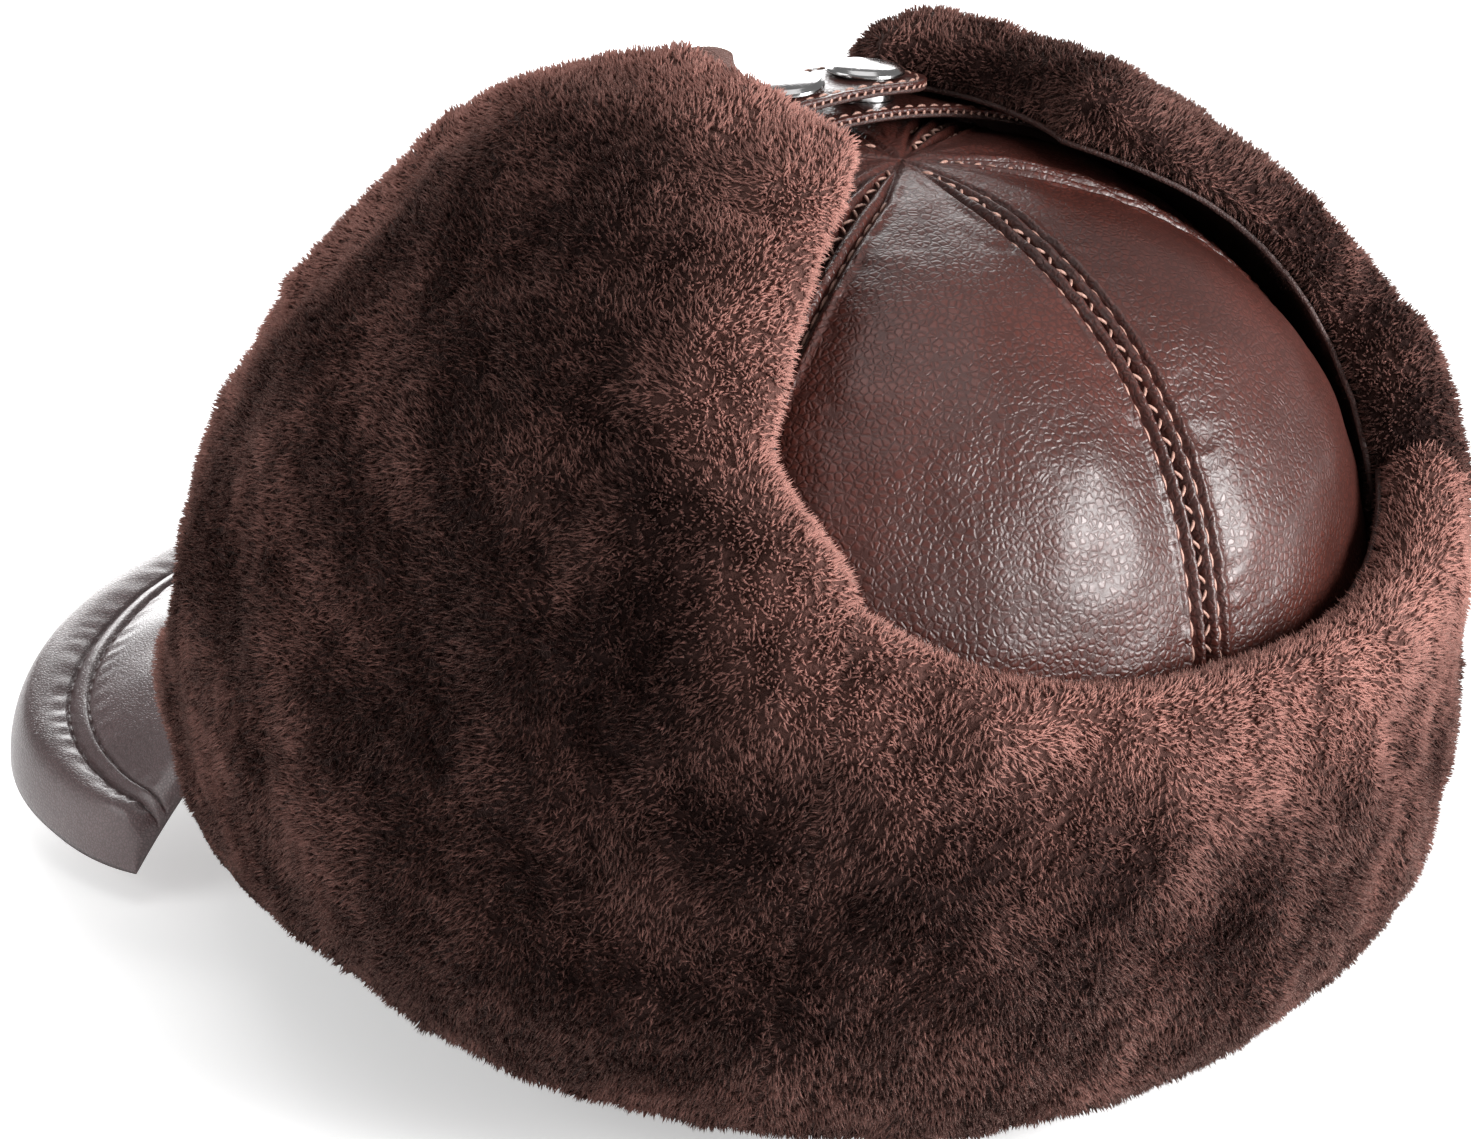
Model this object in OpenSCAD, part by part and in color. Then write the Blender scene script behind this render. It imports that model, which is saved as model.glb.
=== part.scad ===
// Trapper hat: a leather cap with a visor, and a fur wrap folded up round it.
// The rim's plane is the plane z = 0 of the hat, with the visor at -Y and the wearer's left at +X.
// The hat stands with its front raised, so every piece is turned by rest_tilt about X.
// The origin is the centre of the head opening.

/* [Crown] */
// Half the width of the leather crown at its rim
crown_half_w = 95; // [85:0.5:115]
// Half the length of the leather crown at its rim
crown_half_l = 103; // [92:0.5:125]
// Height of the crown above its rim
crown_h = 139; // [115:1:170]
// Squareness of the rim's oval, where 2 is an ellipse
rim_n = 2.2; // [2:0.05:2.5]
// Fullness of the crown's sides
side_p = 2.34; // [2:0.05:2.6]
// Flatness of the crown's top
top_q = 3; // [2.6:0.1:3.4]
// How far the crown leans back for each millimetre of height
lean = 0.135; // [0:0.01:0.2]
// Turn of the standing hat, with the visor's side raised
rest_tilt = 7.6; // [0:0.1:10]

/* [Crown layers] */
// Thickness of the crown's leather panels
leather_t = 1.2; // [0.8:0.1:2]
// Thickness of the quilted wadding under the leather
padding_t = 4; // [2:0.5:6]
// Thickness of the lining
lining_t = 1; // [0.5:0.1:2]
// Thickness of the sweatband
sweatband_t = 1.4; // [0.8:0.1:2.5]
// Height of the sweatband
sweatband_h = 32; // [20:1:45]
// Distance from a seam to the thread row on each side of it
seam_row = 3.4; // [2:0.1:6]
// Width of a sewing thread
thread_w = 0.7; // [0.4:0.1:1.2]
// How far a sewing thread stands proud
thread_t = 0.3; // [0.2:0.1:0.8]

/* [Fur wrap] */
// How far the fur's outside stands from the crown at the fold
fur_reach = 19; // [15:0.5:24]
// How far the fur's outside stands from the crown at its top
fur_top_reach = 16.5; // [13:0.5:22]
// Thickness of the wrap's leather backing
backing_t = 1; // [0.8:0.1:2]
// Thickness of the fur at a free edge
fur_edge_t = 5; // [2:0.5:7]
// Radius of the rounding at the fur's free edges
fur_edge_r = 10; // [6:1:16]
// Radius of the rounding at the folded bottom of the fur
fold_r = 24; // [12:1:26]
// Clearance between the wrap and the crown at the fold
wrap_gap = 0.8; // [0.6:0.1:0.9]
// Angle of the joint between an ear flap and the neck band
split_a = 47; // [44:0.5:52]
// Angle of an ear flap's front edge at the fold
front_a = 44; // [38:0.5:46]

/* [Visor] */
// Half the width of the visor
visor_half_w = 94; // [80:1:105]
// Distance from the crown's front to the visor's tip
visor_reach = 68; // [50:1:80]
// How far the visor's sides hang below its middle
visor_droop = 25; // [15:1:32]
// Half the angle that the visor takes of the rim
visor_span = 42; // [34:0.5:42]
// Thickness of the visor's board
board_t = 2; // [1.5:0.1:3]
// Thickness of the visor's padding away from its rim
visor_pad_t = 1; // [0.5:0.1:2]
// Thickness of the roll of padding along the visor's rim
visor_roll_t = 4.5; // [2:0.5:7]
// Width of the roll along the visor's rim
visor_roll_w = 15; // [8:1:20]

/* [Straps and snaps] */
// Width of the straps
strap_w = 18; // [14:0.5:24]
// Thickness of one leather layer of a strap
strap_t = 1; // [0.8:0.1:1.5]
// Where the straps cross the crown, from the opening's centre
strap_y = 0; // [-8:1:12]
// Reach of each strap's free end past the middle of the crown
strap_end = 18; // [16:0.5:18]
// Distance from the crown's middle to the line where the upper strap bends
strap_root = 18; // [17.5:0.5:18.5]
// Distance between the two snaps
snap_pitch = 17; // [15:0.5:17]
// Radius of a snap's cap
snap_r = 7; // [5:0.5:8]
// Radius of a snap's stud
stud_r = 2.2; // [1.6:0.1:3]
// Clearance round a stud in its socket
stud_gap = 0.3; // [0.2:0.05:0.5]

/* [Hidden] */

$fn = 48;
leather = "#4a2c26";
leather_dark = "#2f1c19";
fur = "#55382f";
thread = "#c9a797";
metal = "#5d5955";
cloth = "#2b2422";

// Steps of a crown panel round the rim and up to the top.
panel_steps = 8;
rise_steps = 12;
panel_a = 60;
// Where the crown's layers lie, measured out from the leather's outside.
padding_o = -leather_t;
lining_o = padding_o - padding_t;
sweatband_o = lining_o - lining_t;
head_o = sweatband_o - sweatband_t;
// The stitches stand this far off a faceted surface, and other small pieces this far off each other.
hover = 0.1;
fit_gap = 0.2;

// Shares of the way from the rim (0) to the top (1).
flap_top = 0.865;
neck_mid = 0.285;
neck_end = 0.36;
notch_top = 0.5;
shoulder = 0.75;
// Angles of an ear flap's outline at the places of those shares.
rear_notch_a = 37.5;
rear_shoulder_a = 36;
rear_tip_a = 26;
front_tip_a = 44;
front_mid_a = 47;
// Roundness of an ear flap's tip, where 1 brings its corners all the way in.
tip_round = 0.98;
// The wrap's inside starts to leave the crown at this share, and is away from it after lift_span more.
lift_from = 0.12;
lift_span = 0.6;
// The fur is at least this much thicker away from its edges than at them.
fur_swell = 4;
// Millimetres of crown for one unit of share, above the straight wall.
share_mm = 150;

// Places of the layers of both straps, measured out from the crown.
eyelet_t = 0.6;
eyelet_r = 4.8;
lower_o = 2.4;
stud_base_t = 0.4;
socket_t = 1.7;
lower_top_o = lower_o + 2 * strap_t;
socket_o = lower_top_o + stud_base_t + fit_gap;
upper_o = socket_o + socket_t + fit_gap;
upper_top_o = upper_o + 2 * strap_t;
cap_h = 2.4;
cap_edge_h = 0.9;
// The cap's round top falls from cap_h at its middle to cap_edge_h at its edge.
cap_dome_r = (snap_r * snap_r + pow(cap_h - cap_edge_h, 2)) / (2 * (cap_h - cap_edge_h));
snap_x = -7;
snap_places = [snap_x, snap_x + snap_pitch];
socket_r = 5.4;
post_r = 1.6;
tab_len = 19;
// Distance from a strap's edge to the thread row along it.
thread_inset = 1.3;
// The roof that is left over a stud in its socket, and the play between it and the stud.
socket_roof = 1.1;
stud_play = 0.7;
// The lifts of the flaps' insides over the crown's top.
left_lift = upper_top_o + 0.5;
right_lift = lower_top_o + 0.7;

function mix(a, b, f) = a + (b - a) * f;
function clip(f) = min(1, max(0, f));
function smooth(f) = let (c = clip(f)) c * c * (3 - 2 * c);

// ---- The crown's surface -------------------------------------------------

// A point of the rim's oval of half axes 1, at an angle from +X.
function oval(a) = let (r = pow(pow(abs(cos(a)), rim_n) + pow(abs(sin(a)), rim_n), -1 / rim_n))
    [cos(a) * r, sin(a) * r];

// How far in the crown has come at a share t of its rise.
function narrowing(t) = t >= 1 ? 0 : pow(cos(90 * t), 2 / side_p);

// A point at angle a and share t, offset out by o.
function dome(a, t, o) = let (
    g = narrowing(t),
    z = (crown_h + o) * pow(sin(90 * t), 2 / top_q),
    e = oval(a)
) [(crown_half_w + o) * e[0] * g, (crown_half_l + o) * e[1] * g + lean * z, z];

// The share at which the surface has a height z.
function share_at(z, o) = asin(pow(z / (crown_h + o), top_q / 2)) / 90;

// The crown's height over a point of the plan, near its top.
function dome_z(x, y) = let (
    b = (y - lean * crown_h) / crown_half_l,
    r = pow(pow(abs(x) / crown_half_w, rim_n) + pow(abs(b), rim_n), 1 / rim_n)
) crown_h * pow(1 - pow(r, side_p), 1 / top_q);

// Equal steps of height near the rim become these shares.
function rise(v) = pow(v, top_q / 2);

// ---- A layer between two surfaces ----------------------------------------

// inner and outer are functions of u and v, each from 0 to 1. With outer outside, u runs anticlockwise and v up.
module layer(nu, nv, inner, outer, ring = false, pole = false) {
    cols = ring ? nu : nu + 1;
    rows = nv + 1;
    points = [for (f = [inner, outer]) for (i = [0 : cols - 1]) for (j = [0 : nv]) f(i / nu, j / nv)];
    id = function (side, i, j)
        side * cols * rows + (pole && j == nv ? 0 : (ring ? i % nu : i) * rows) + j;
    skins = [for (i = [0 : nu - 1]) for (j = [0 : nv - 1]) each [
        [id(1, i, j), id(1, i, j + 1), id(1, i + 1, j + 1), id(1, i + 1, j)],
        [id(0, i, j), id(0, i + 1, j), id(0, i + 1, j + 1), id(0, i, j + 1)]
    ]];
    ends = [for (i = [0 : nu - 1]) each [
        [id(1, i, 0), id(1, i + 1, 0), id(0, i + 1, 0), id(0, i, 0)],
        [id(1, i + 1, nv), id(1, i, nv), id(0, i, nv), id(0, i + 1, nv)]
    ]];
    sides = ring ? [] : [for (j = [0 : nv - 1]) each [
        [id(1, 0, j + 1), id(1, 0, j), id(0, 0, j), id(0, 0, j + 1)],
        [id(1, nu, j), id(1, nu, j + 1), id(0, nu, j + 1), id(0, nu, j)]
    ]];
    triangles = [for (q = concat(skins, ends, sides))
        for (t = [[q[0], q[1], q[2]], [q[0], q[2], q[3]]])
            if (t[0] != t[1] && t[1] != t[2] && t[2] != t[0]) t];
    polyhedron(points = points, faces = triangles, convexity = 8);
}

module standing() {
    rotate([-rest_tilt, 0, 0])
        children();
}

// ---- The crown -----------------------------------------------------------

module crown_panel(seam) {
    color(leather)
        standing()
            layer(panel_steps, rise_steps,
                function (u, v) dome(seam + panel_a * u, rise(v), padding_o),
                function (u, v) dome(seam + panel_a * u, rise(v), 0),
                pole = true);
}

module crown_shell(outer_o, thick) {
    layer(6 * panel_steps, rise_steps,
        function (u, v) dome(-90 + 360 * u, rise(v), outer_o - thick),
        function (u, v) dome(-90 + 360 * u, rise(v), outer_o),
        ring = true, pole = true);
}

module crown_padding() {
    color(cloth)
        standing()
            crown_shell(padding_o, padding_t);
}

module crown_lining() {
    color(cloth)
        standing()
            crown_shell(lining_o, lining_t);
}

module sweatband() {
    color(leather_dark)
        standing()
            layer(6 * panel_steps, 3,
                function (u, v) dome(-90 + 360 * u, share_at(sweatband_h * v, head_o), head_o),
                function (u, v) dome(-90 + 360 * u, share_at(sweatband_h * v, sweatband_o), sweatband_o - hover),
                ring = true);
}

// A thread row along a seam, side millimetres from it, on the panels' own rows.
module seam_thread(seam, side) {
    share = function (v) rise((1 + v * (rise_steps - 2)) / rise_steps);
    angle = function (u, v) seam
        + (side + thread_w * (u - 0.5)) / (crown_half_w * narrowing(share(v))) * 180 / PI;
    layer(1, rise_steps - 2,
        function (u, v) dome(angle(u, v), share(v), hover),
        function (u, v) dome(angle(u, v), share(v), hover + thread_t));
}

module crown_stitching() {
    color(thread)
        standing()
            for (seam = [30 : panel_a : 330], side = [-seam_row, 0, seam_row])
                seam_thread(seam, side);
}

// ---- The visor -----------------------------------------------------------

root_mid_z = 11;
root_end_z = 3.5;
rim_mid_z = -10;
rim_turn = 98;
visor_m = 2.35;
visor_mid_y = -(crown_half_l + 2);
visor_steps = 24;
// How far the visor bows up between the crown and its rim.
visor_bow = 2.5;
// How fast the visor's sides droop away from its middle.
droop_power = 2.2;
// Where the round of the rim starts, and the share of a layer's thickness that is left at its edge.
round_from = 0.93;
rim_share = 0.12;
// The roll's hump, as an angle of a sine that ends a little past its peak.
roll_turn = 112;
visor_length = visor_reach + 8;
visor_row_gap = 5;
// Shares of the way from the crown (0) to the rim (1) at the two thread rows, with the roll past the outer one.
outer_row = 1 - visor_roll_w / visor_length;
inner_row = outer_row - visor_row_gap / visor_length;
visor_rows = concat([for (k = [0 : 4]) inner_row * k / 5], [inner_row, outer_row],
    [for (k = [1 : 5]) mix(outer_row, 1, sin(90 * k / 5))]);
visor_last = len(visor_rows) - 1;

function signed_pow(v, e) = sign(v) * pow(abs(v), e);

// Where the visor meets the crown, from the left end (u = 0) to the right end (u = 1).
function visor_root(u) = let (
    w = 1 - 2 * u,
    z = mix(root_mid_z, root_end_z, pow(abs(w), 2))
) dome(-90 + visor_span * w, share_at(z, fit_gap), fit_gap);

// The visor's rim, on a squared oval.
function visor_rim(u) = let (
    w = 1 - 2 * u,
    x = visor_half_w * signed_pow(sin(rim_turn * w), 2 / visor_m),
    y = visor_mid_y - (visor_reach - 2) * signed_pow(cos(rim_turn * w), 2 / visor_m)
) [x, y, rim_mid_z - visor_droop * pow(abs(x) / visor_half_w, droop_power)];

// The underside between the crown and the rim, bowed upwards.
function visor_base(u, v) = mix(visor_root(u), visor_rim(u), v) + [0, 0, visor_bow * 4 * v * (1 - v)];

// Thins the visor's layers at the round of its rim.
function rim_round(v) = let (f = clip((v - round_from) / (1 - round_from))) mix(rim_share, 1, sqrt(1 - f * f));

// The padding is thin in the field and thick in the roll.
function visor_pad(v) = let (
    hump = sin(roll_turn * clip((v - outer_row) / (1 - outer_row)))
) visor_pad_t + visor_roll_t * clip(hump);

function bottom_z(v) = leather_t * rim_round(v);
function board_z(v) = bottom_z(v) + board_t * rim_round(v);
function pad_z(v) = board_z(v) + visor_pad(v) * rim_round(v);
function top_z(v) = pad_z(v) + leather_t * rim_round(v);

module visor_layer(low, high) {
    row = function (v) visor_rows[round(v * visor_last)];
    standing()
        layer(visor_steps, visor_last,
            function (u, v) visor_base(u, row(v)) + [0, 0, low(row(v))],
            function (u, v) visor_base(u, row(v)) + [0, 0, high(row(v))]);
}

module visor_bottom_leather() {
    color(leather_dark)
        visor_layer(function (v) 0, function (v) bottom_z(v));
}

module visor_board() {
    color(cloth)
        visor_layer(function (v) bottom_z(v), function (v) board_z(v));
}

module visor_padding() {
    color(cloth)
        visor_layer(function (v) board_z(v), function (v) pad_z(v));
}

module visor_top_leather() {
    color(leather)
        visor_layer(function (v) pad_z(v), function (v) top_z(v));
}

module visor_stitching() {
    half = thread_w / visor_length / 2;
    across = function (u) (1 + u * (visor_steps - 2)) / visor_steps;
    color(thread)
        standing()
            for (row = [inner_row, outer_row])
                layer(visor_steps - 2, 1,
                    function (u, v) visor_base(across(u), row + half * (2 * v - 1)) + [0, 0, top_z(row) + 3 * hover],
                    function (u, v) visor_base(across(u), row + half * (2 * v - 1))
                        + [0, 0, top_z(row) + 3 * hover + thread_t]);
}

// ---- The fur wrap --------------------------------------------------------

// Angle of an ear flap's rear edge at share t: the joint with the neck band, a notch, then the tip.
function rear_edge(t) = let (
    notch = mix(split_a, rear_notch_a, smooth((t - neck_end) / (notch_top - neck_end))),
    side = mix(notch, rear_shoulder_a, smooth((t - notch_top) / (shoulder - notch_top))),
    tip = clip((t - shoulder) / (flap_top - shoulder))
) mix(rear_tip_a, side, sqrt(1 - tip * tip * tip_round));

// Angle of an ear flap's front edge at share t.
function front_edge(t) = let (
    side = mix(front_a, front_mid_a, sin(180 * clip(t / flap_top))),
    tip = clip((t - shoulder) / (flap_top - shoulder))
) -mix(front_tip_a, side, sqrt(1 - tip * tip * tip_round));

function neck_edge(a) = mix(neck_mid, neck_end, pow(abs(a - 90) / (90 - split_a), 3));

// Millimetres across the crown for an angle at share t.
function across(angle, t) = angle * PI / 180 * crown_half_l * narrowing(t);

// Roundness of an edge at s millimetres from it: 0 at the edge and 1 from the radius on.
function rounded(s, r) = let (f = 1 - clip(s / r)) sqrt(1 - f * f);

// How far the wrap's inside stands off the crown at share t.
function wrap_inside(t, lift) = mix(wrap_gap, lift, smooth((t - lift_from) / lift_span));

// The fur's outside, s millimetres from the free edge at share t.
function fur_outside(t, lift, s) = let (
    base = wrap_inside(t, lift) + backing_t,
    reach = mix(fur_reach, fur_top_reach, smooth(t / shoulder)),
    full = mix(fur_edge_t, max(reach - base, fur_edge_t + fur_swell), rounded(s, fur_edge_r)),
    z = dome(0, t, fur_reach)[2]
) base + mix(fur_edge_t, full, rounded(z, fold_r));

// Distance from the free edge of an ear flap.
function flap_margin(a, t) = let (
    up = (flap_top - t) * share_mm,
    ahead = across(a - front_edge(t), t),
    behind = across(rear_edge(t) - a, t),
    below = max(0, neck_end - t) * share_mm
) min(up, ahead, norm([behind, below]));

even = function (f) (1 - cos(180 * f)) / 2;
flap_cols = 14;
flap_rows = 14;
neck_cols = 16;
neck_rows = 8;
// Half the gap between an ear flap and the neck band, as an angle.
split_gap_a = 0.15;
fold_lift = 0.3;

function flap_t(v) = mix(share_at(fold_lift, 0), flap_top, rise(v));
function flap_a(u, t) = mix(front_edge(t), rear_edge(t) - split_gap_a, u);
function neck_a(u) = mix(split_a + split_gap_a, 180 - split_a - split_gap_a, u);
function neck_t(a, v) = mix(share_at(fold_lift, 0), neck_edge(a), rise(v));

module flap_layer(inner, outer) {
    standing()
        layer(flap_cols, flap_rows,
            function (u, v) let (t = flap_t(v), a = flap_a(even(u), t)) dome(a, t, inner(a, t)),
            function (u, v) let (t = flap_t(v), a = flap_a(even(u), t)) dome(a, t, outer(a, t)));
}

module flap_fur(lift) {
    flap_layer(
        function (a, t) wrap_inside(t, lift) + backing_t,
        function (a, t) fur_outside(t, lift, flap_margin(a, t)));
}

module flap_backing(lift) {
    flap_layer(
        function (a, t) wrap_inside(t, lift),
        function (a, t) wrap_inside(t, lift) + backing_t);
}

module left_flap_fur() {
    color(fur)
        flap_fur(left_lift);
}

module left_flap_backing() {
    color(leather_dark)
        flap_backing(left_lift);
}

module right_flap_fur() {
    color(fur)
        mirror([1, 0, 0])
            flap_fur(right_lift);
}

module right_flap_backing() {
    color(leather_dark)
        mirror([1, 0, 0])
            flap_backing(right_lift);
}

module neck_layer(inner, outer) {
    standing()
        layer(neck_cols, neck_rows,
            function (u, v) let (a = neck_a(u), t = neck_t(a, v)) dome(a, t, inner(a, t)),
            function (u, v) let (a = neck_a(u), t = neck_t(a, v)) dome(a, t, outer(a, t)));
}

module neck_band_fur() {
    color(fur)
        neck_layer(
            function (a, t) wrap_inside(t, left_lift) + backing_t,
            function (a, t) fur_outside(t, left_lift, (neck_edge(a) - t) * share_mm));
}

module neck_band_backing() {
    color(leather_dark)
        neck_layer(
            function (a, t) wrap_inside(t, left_lift),
            function (a, t) wrap_inside(t, left_lift) + backing_t);
}

// ---- The straps and the snaps --------------------------------------------

// The straps follow an arc that fits the crown's top where they cross it.
arc_x = 40;
arc_drop = dome_z(0, strap_y) - dome_z(arc_x, strap_y);
arc_r = (arc_x * arc_x + arc_drop * arc_drop) / (2 * arc_drop);
strap_slope = atan((dome_z(0, strap_y + strap_w / 2) - dome_z(0, strap_y - strap_w / 2)) / strap_w);

// The straps' own frame: on the crown, with X across the hat and Z away from the crown.
module strap_frame() {
    standing()
        translate([0, strap_y, dome_z(0, strap_y)])
            rotate([strap_slope, 0, 0])
                children();
}

// A strip of the arc from x1 to x2, from o1 to o2 off the crown and w wide.
module arc_strip(x1, x2, o1, o2, w) {
    a1 = asin(x1 / arc_r);
    a2 = asin(x2 / arc_r);
    translate([0, 0, -arc_r])
        rotate([-90, 0, 0])
            rotate([0, 0, a1 - 90])
                rotate_extrude(angle = a2 - a1, $fn = 96)
                    translate([arc_r + o1, -w / 2])
                        square([o2 - o1, w]);
}

// An upright prism with a round end at tip, which runs on past root.
module strap_outline(tip, root, w) {
    side = sign(root - tip);
    far = root + side * spare;
    middle = tip + side * w / 2;
    round_end = [for (a = [-90 : 7.5 : 90]) [middle - side * cos(a) * w / 2, sin(a) * (w / 2 + hover)]];
    translate([0, 0, -arc_x])
        linear_extrude(2 * arc_x)
            polygon(concat([[far, -w / 2 - hover]], round_end, [[far, w / 2 + hover]]));
}

// Places children on the straps' arc over x.
module on_arc(x) {
    translate([0, 0, -arc_r])
        rotate([0, asin(x / arc_r), 0])
            translate([0, 0, arc_r])
                children();
}

// One layer of a strap, with the holes that the snaps are riveted through.
module strap_ply(tip, root, o) {
    past_tip = tip - sign(root - tip) * spare;
    difference() {
        intersection() {
            arc_strip(min(past_tip, root), max(past_tip, root), o, o + strap_t, strap_w);
            strap_outline(tip, root, strap_w);
        }
        for (x = snap_places)
            on_arc(x)
                translate([0, 0, o - 1])
                    cylinder(r = post_r + hover, h = strap_t + 2);
    }
}

// Thread rows along both edges of a strap, on the layer whose outside is at o.
module strap_thread(x1, x2, o) {
    for (side = [-1, 1])
        translate([0, side * (strap_w / 2 - thread_inset), 0])
            arc_strip(x1, x2, o + hover / 2, o + hover / 2 + thread_t, thread_w);
}

lower_tip = 17;
lower_root = -44;
// How far a shape that cuts another runs past it.
spare = 5;

module left_strap_leather() {
    color(leather)
        strap_frame()
            strap_ply(-strap_end, strap_root, upper_o + strap_t);
}

module left_strap_backing() {
    color(leather_dark)
        strap_frame()
            strap_ply(-strap_end, strap_root, upper_o);
}

module left_strap_stitching() {
    color(thread)
        strap_frame()
            strap_thread(-strap_end + strap_w / 2, strap_root - 1, upper_top_o);
}

module left_strap_sewn_end() {
    color(leather)
        strap_frame()
            arc_strip(strap_root + 2 * fit_gap, strap_root + tab_len, upper_o, upper_top_o, strap_w);
}

module right_strap_leather() {
    color(leather)
        strap_frame()
            strap_ply(lower_tip, lower_root, lower_o + strap_t);
}

module right_strap_backing() {
    color(leather_dark)
        strap_frame()
            strap_ply(lower_tip, lower_root, lower_o);
}

module right_strap_stitching() {
    color(thread)
        strap_frame()
            strap_thread(-(strap_root + 2), lower_tip - strap_w / 2, lower_top_o);
}

module snap_caps() {
    color(metal)
        strap_frame()
            for (x = snap_places)
                on_arc(x) {
                    translate([0, 0, upper_top_o])
                        intersection() {
                            cylinder(r = snap_r, h = cap_h);
                            translate([0, 0, cap_h - cap_dome_r])
                                sphere(r = cap_dome_r, $fn = 96);
                        }
                    translate([0, 0, upper_o + hover])
                        cylinder(r = post_r, h = 2 * strap_t);
                }
}

module snap_sockets() {
    color(metal)
        strap_frame()
            for (x = snap_places)
                on_arc(x)
                    translate([0, 0, socket_o])
                        difference() {
                            cylinder(r = socket_r, h = socket_t);
                            translate([0, 0, -spare])
                                cylinder(r = stud_r + stud_gap, h = spare + socket_t - socket_roof / 2);
                        }
}

module snap_studs() {
    color(metal)
        strap_frame()
            for (x = snap_places)
                on_arc(x)
                    translate([0, 0, lower_top_o]) {
                        cylinder(r = socket_r, h = stud_base_t);
                        cylinder(r = stud_r, h = stud_base_t + fit_gap + socket_t - stud_play);
                    }
}

module snap_eyelets() {
    color(metal)
        strap_frame()
            for (x = snap_places)
                on_arc(x) {
                    translate([0, 0, lower_o - eyelet_t - fit_gap])
                        cylinder(r = eyelet_r, h = eyelet_t);
                    translate([0, 0, lower_o - fit_gap - hover])
                        cylinder(r = post_r, h = 2 * strap_t + fit_gap);
                }
}

crown_panel(30);  // crown_panel_rear_left
crown_panel(90);  // crown_panel_rear_right
crown_panel(330);  // crown_panel_side_left
crown_panel(150);  // crown_panel_side_right
crown_panel(270);  // crown_panel_front_left
crown_panel(210);  // crown_panel_front_right
crown_padding();
crown_lining();
sweatband();
crown_stitching();
visor_board();
visor_padding();
visor_top_leather();
visor_bottom_leather();
visor_stitching();
neck_band_fur();
neck_band_backing();
left_flap_fur();
left_flap_backing();
left_strap_sewn_end();
right_flap_fur();
right_flap_backing();
left_strap_leather();
left_strap_backing();
left_strap_stitching();
snap_caps();
snap_sockets();
right_strap_leather();
right_strap_backing();
right_strap_stitching();
snap_studs();
snap_eyelets();
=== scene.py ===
"""Trapper hat: the looks of the leather cap, its visor and its folded fur wrap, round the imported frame.

Lengths inside the classes are millimetres in the hat's own frame: the plane of the crown's rim is z = 0,
the visor is at -Y and the wearer's left at +X. CrownForm.stand turns them to the standing hat, in metres.
"""
import logging
import math
from dataclasses import dataclass, field
from enum import Enum
from typing import Callable, Iterable

import bmesh
import bpy
import numpy as np
from mathutils import Matrix, Vector


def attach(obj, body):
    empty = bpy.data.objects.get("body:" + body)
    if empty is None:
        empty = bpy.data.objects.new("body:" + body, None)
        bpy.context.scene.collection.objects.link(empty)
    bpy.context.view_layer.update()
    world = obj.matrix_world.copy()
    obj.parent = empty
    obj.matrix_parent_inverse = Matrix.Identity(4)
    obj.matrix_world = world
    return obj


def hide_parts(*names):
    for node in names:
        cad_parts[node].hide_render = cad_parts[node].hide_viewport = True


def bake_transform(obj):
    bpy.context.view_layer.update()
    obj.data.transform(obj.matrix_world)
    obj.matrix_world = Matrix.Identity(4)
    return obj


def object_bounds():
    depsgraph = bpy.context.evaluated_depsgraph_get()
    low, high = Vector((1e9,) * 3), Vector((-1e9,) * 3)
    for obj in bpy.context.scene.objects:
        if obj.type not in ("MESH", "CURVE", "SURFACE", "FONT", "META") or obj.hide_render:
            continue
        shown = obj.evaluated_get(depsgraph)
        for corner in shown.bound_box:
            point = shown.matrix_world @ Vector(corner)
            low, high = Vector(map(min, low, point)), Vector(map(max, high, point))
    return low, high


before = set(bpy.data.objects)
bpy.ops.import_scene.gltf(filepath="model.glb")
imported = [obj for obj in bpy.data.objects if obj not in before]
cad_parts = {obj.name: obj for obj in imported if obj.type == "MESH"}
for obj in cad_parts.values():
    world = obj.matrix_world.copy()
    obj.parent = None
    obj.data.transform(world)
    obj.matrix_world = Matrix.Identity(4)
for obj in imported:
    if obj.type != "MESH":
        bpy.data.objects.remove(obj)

CAD_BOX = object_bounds()
MM = 0.001
LOG = logging.getLogger("trapper_hat")

Array = np.ndarray
Height = Callable[[Array, Array], Array]


class Side(Enum):
    """The wearer's side that a piece belongs to, as the sign of X."""

    LEFT = 1
    RIGHT = -1


class Pebble(Enum):
    """How coarse a leather's grain is, as the width of a pebble in millimetres."""

    FINE = 0.7
    COARSE = 1.25


# ---- Sums on arrays -------------------------------------------------------------------


def mix(a: Array, b: Array, f: Array) -> Array:
    """Return the value a share f of the way from a to b."""
    return a + (b - a) * f


def clip(f: Array) -> Array:
    """Return f held between 0 and 1."""
    return np.clip(f, 0.0, 1.0)


def smooth(f: Array) -> Array:
    """Return a smooth step of f from 0 to 1."""
    c = clip(f)
    return c * c * (3 - 2 * c)


def rounded(s: Array, r: float) -> Array:
    """Return the height of a round edge: 0 at its edge and 1 from the radius r on."""
    f = 1 - clip(s / r)
    return np.sqrt(1 - f * f)


def hill(s: Array, width: float) -> Array:
    """Return a smooth hill of height 1 at s = 0 that is gone a few widths away."""
    return np.exp(-((s / width) ** 2))


def signed_power(v: Array, e: float) -> Array:
    """Return v to the power e with the sign of v kept."""
    return np.sign(v) * np.abs(v) ** e


def even_steps(first: float, last: float, count: int) -> Array:
    """Return count places from first to last that crowd together at both ends."""
    return mix(first, last, (1 - np.cos(np.linspace(0, math.pi, count))) / 2)


def unit(v: Array) -> Array:
    """Return the vectors along v's last axis at length 1."""
    return v / np.linalg.norm(v, axis=-1, keepdims=True)


def upright(height: Array) -> Array:
    """Return vectors that point straight up and are height long."""
    return np.stack([np.zeros_like(height), np.zeros_like(height), height], -1)


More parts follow.
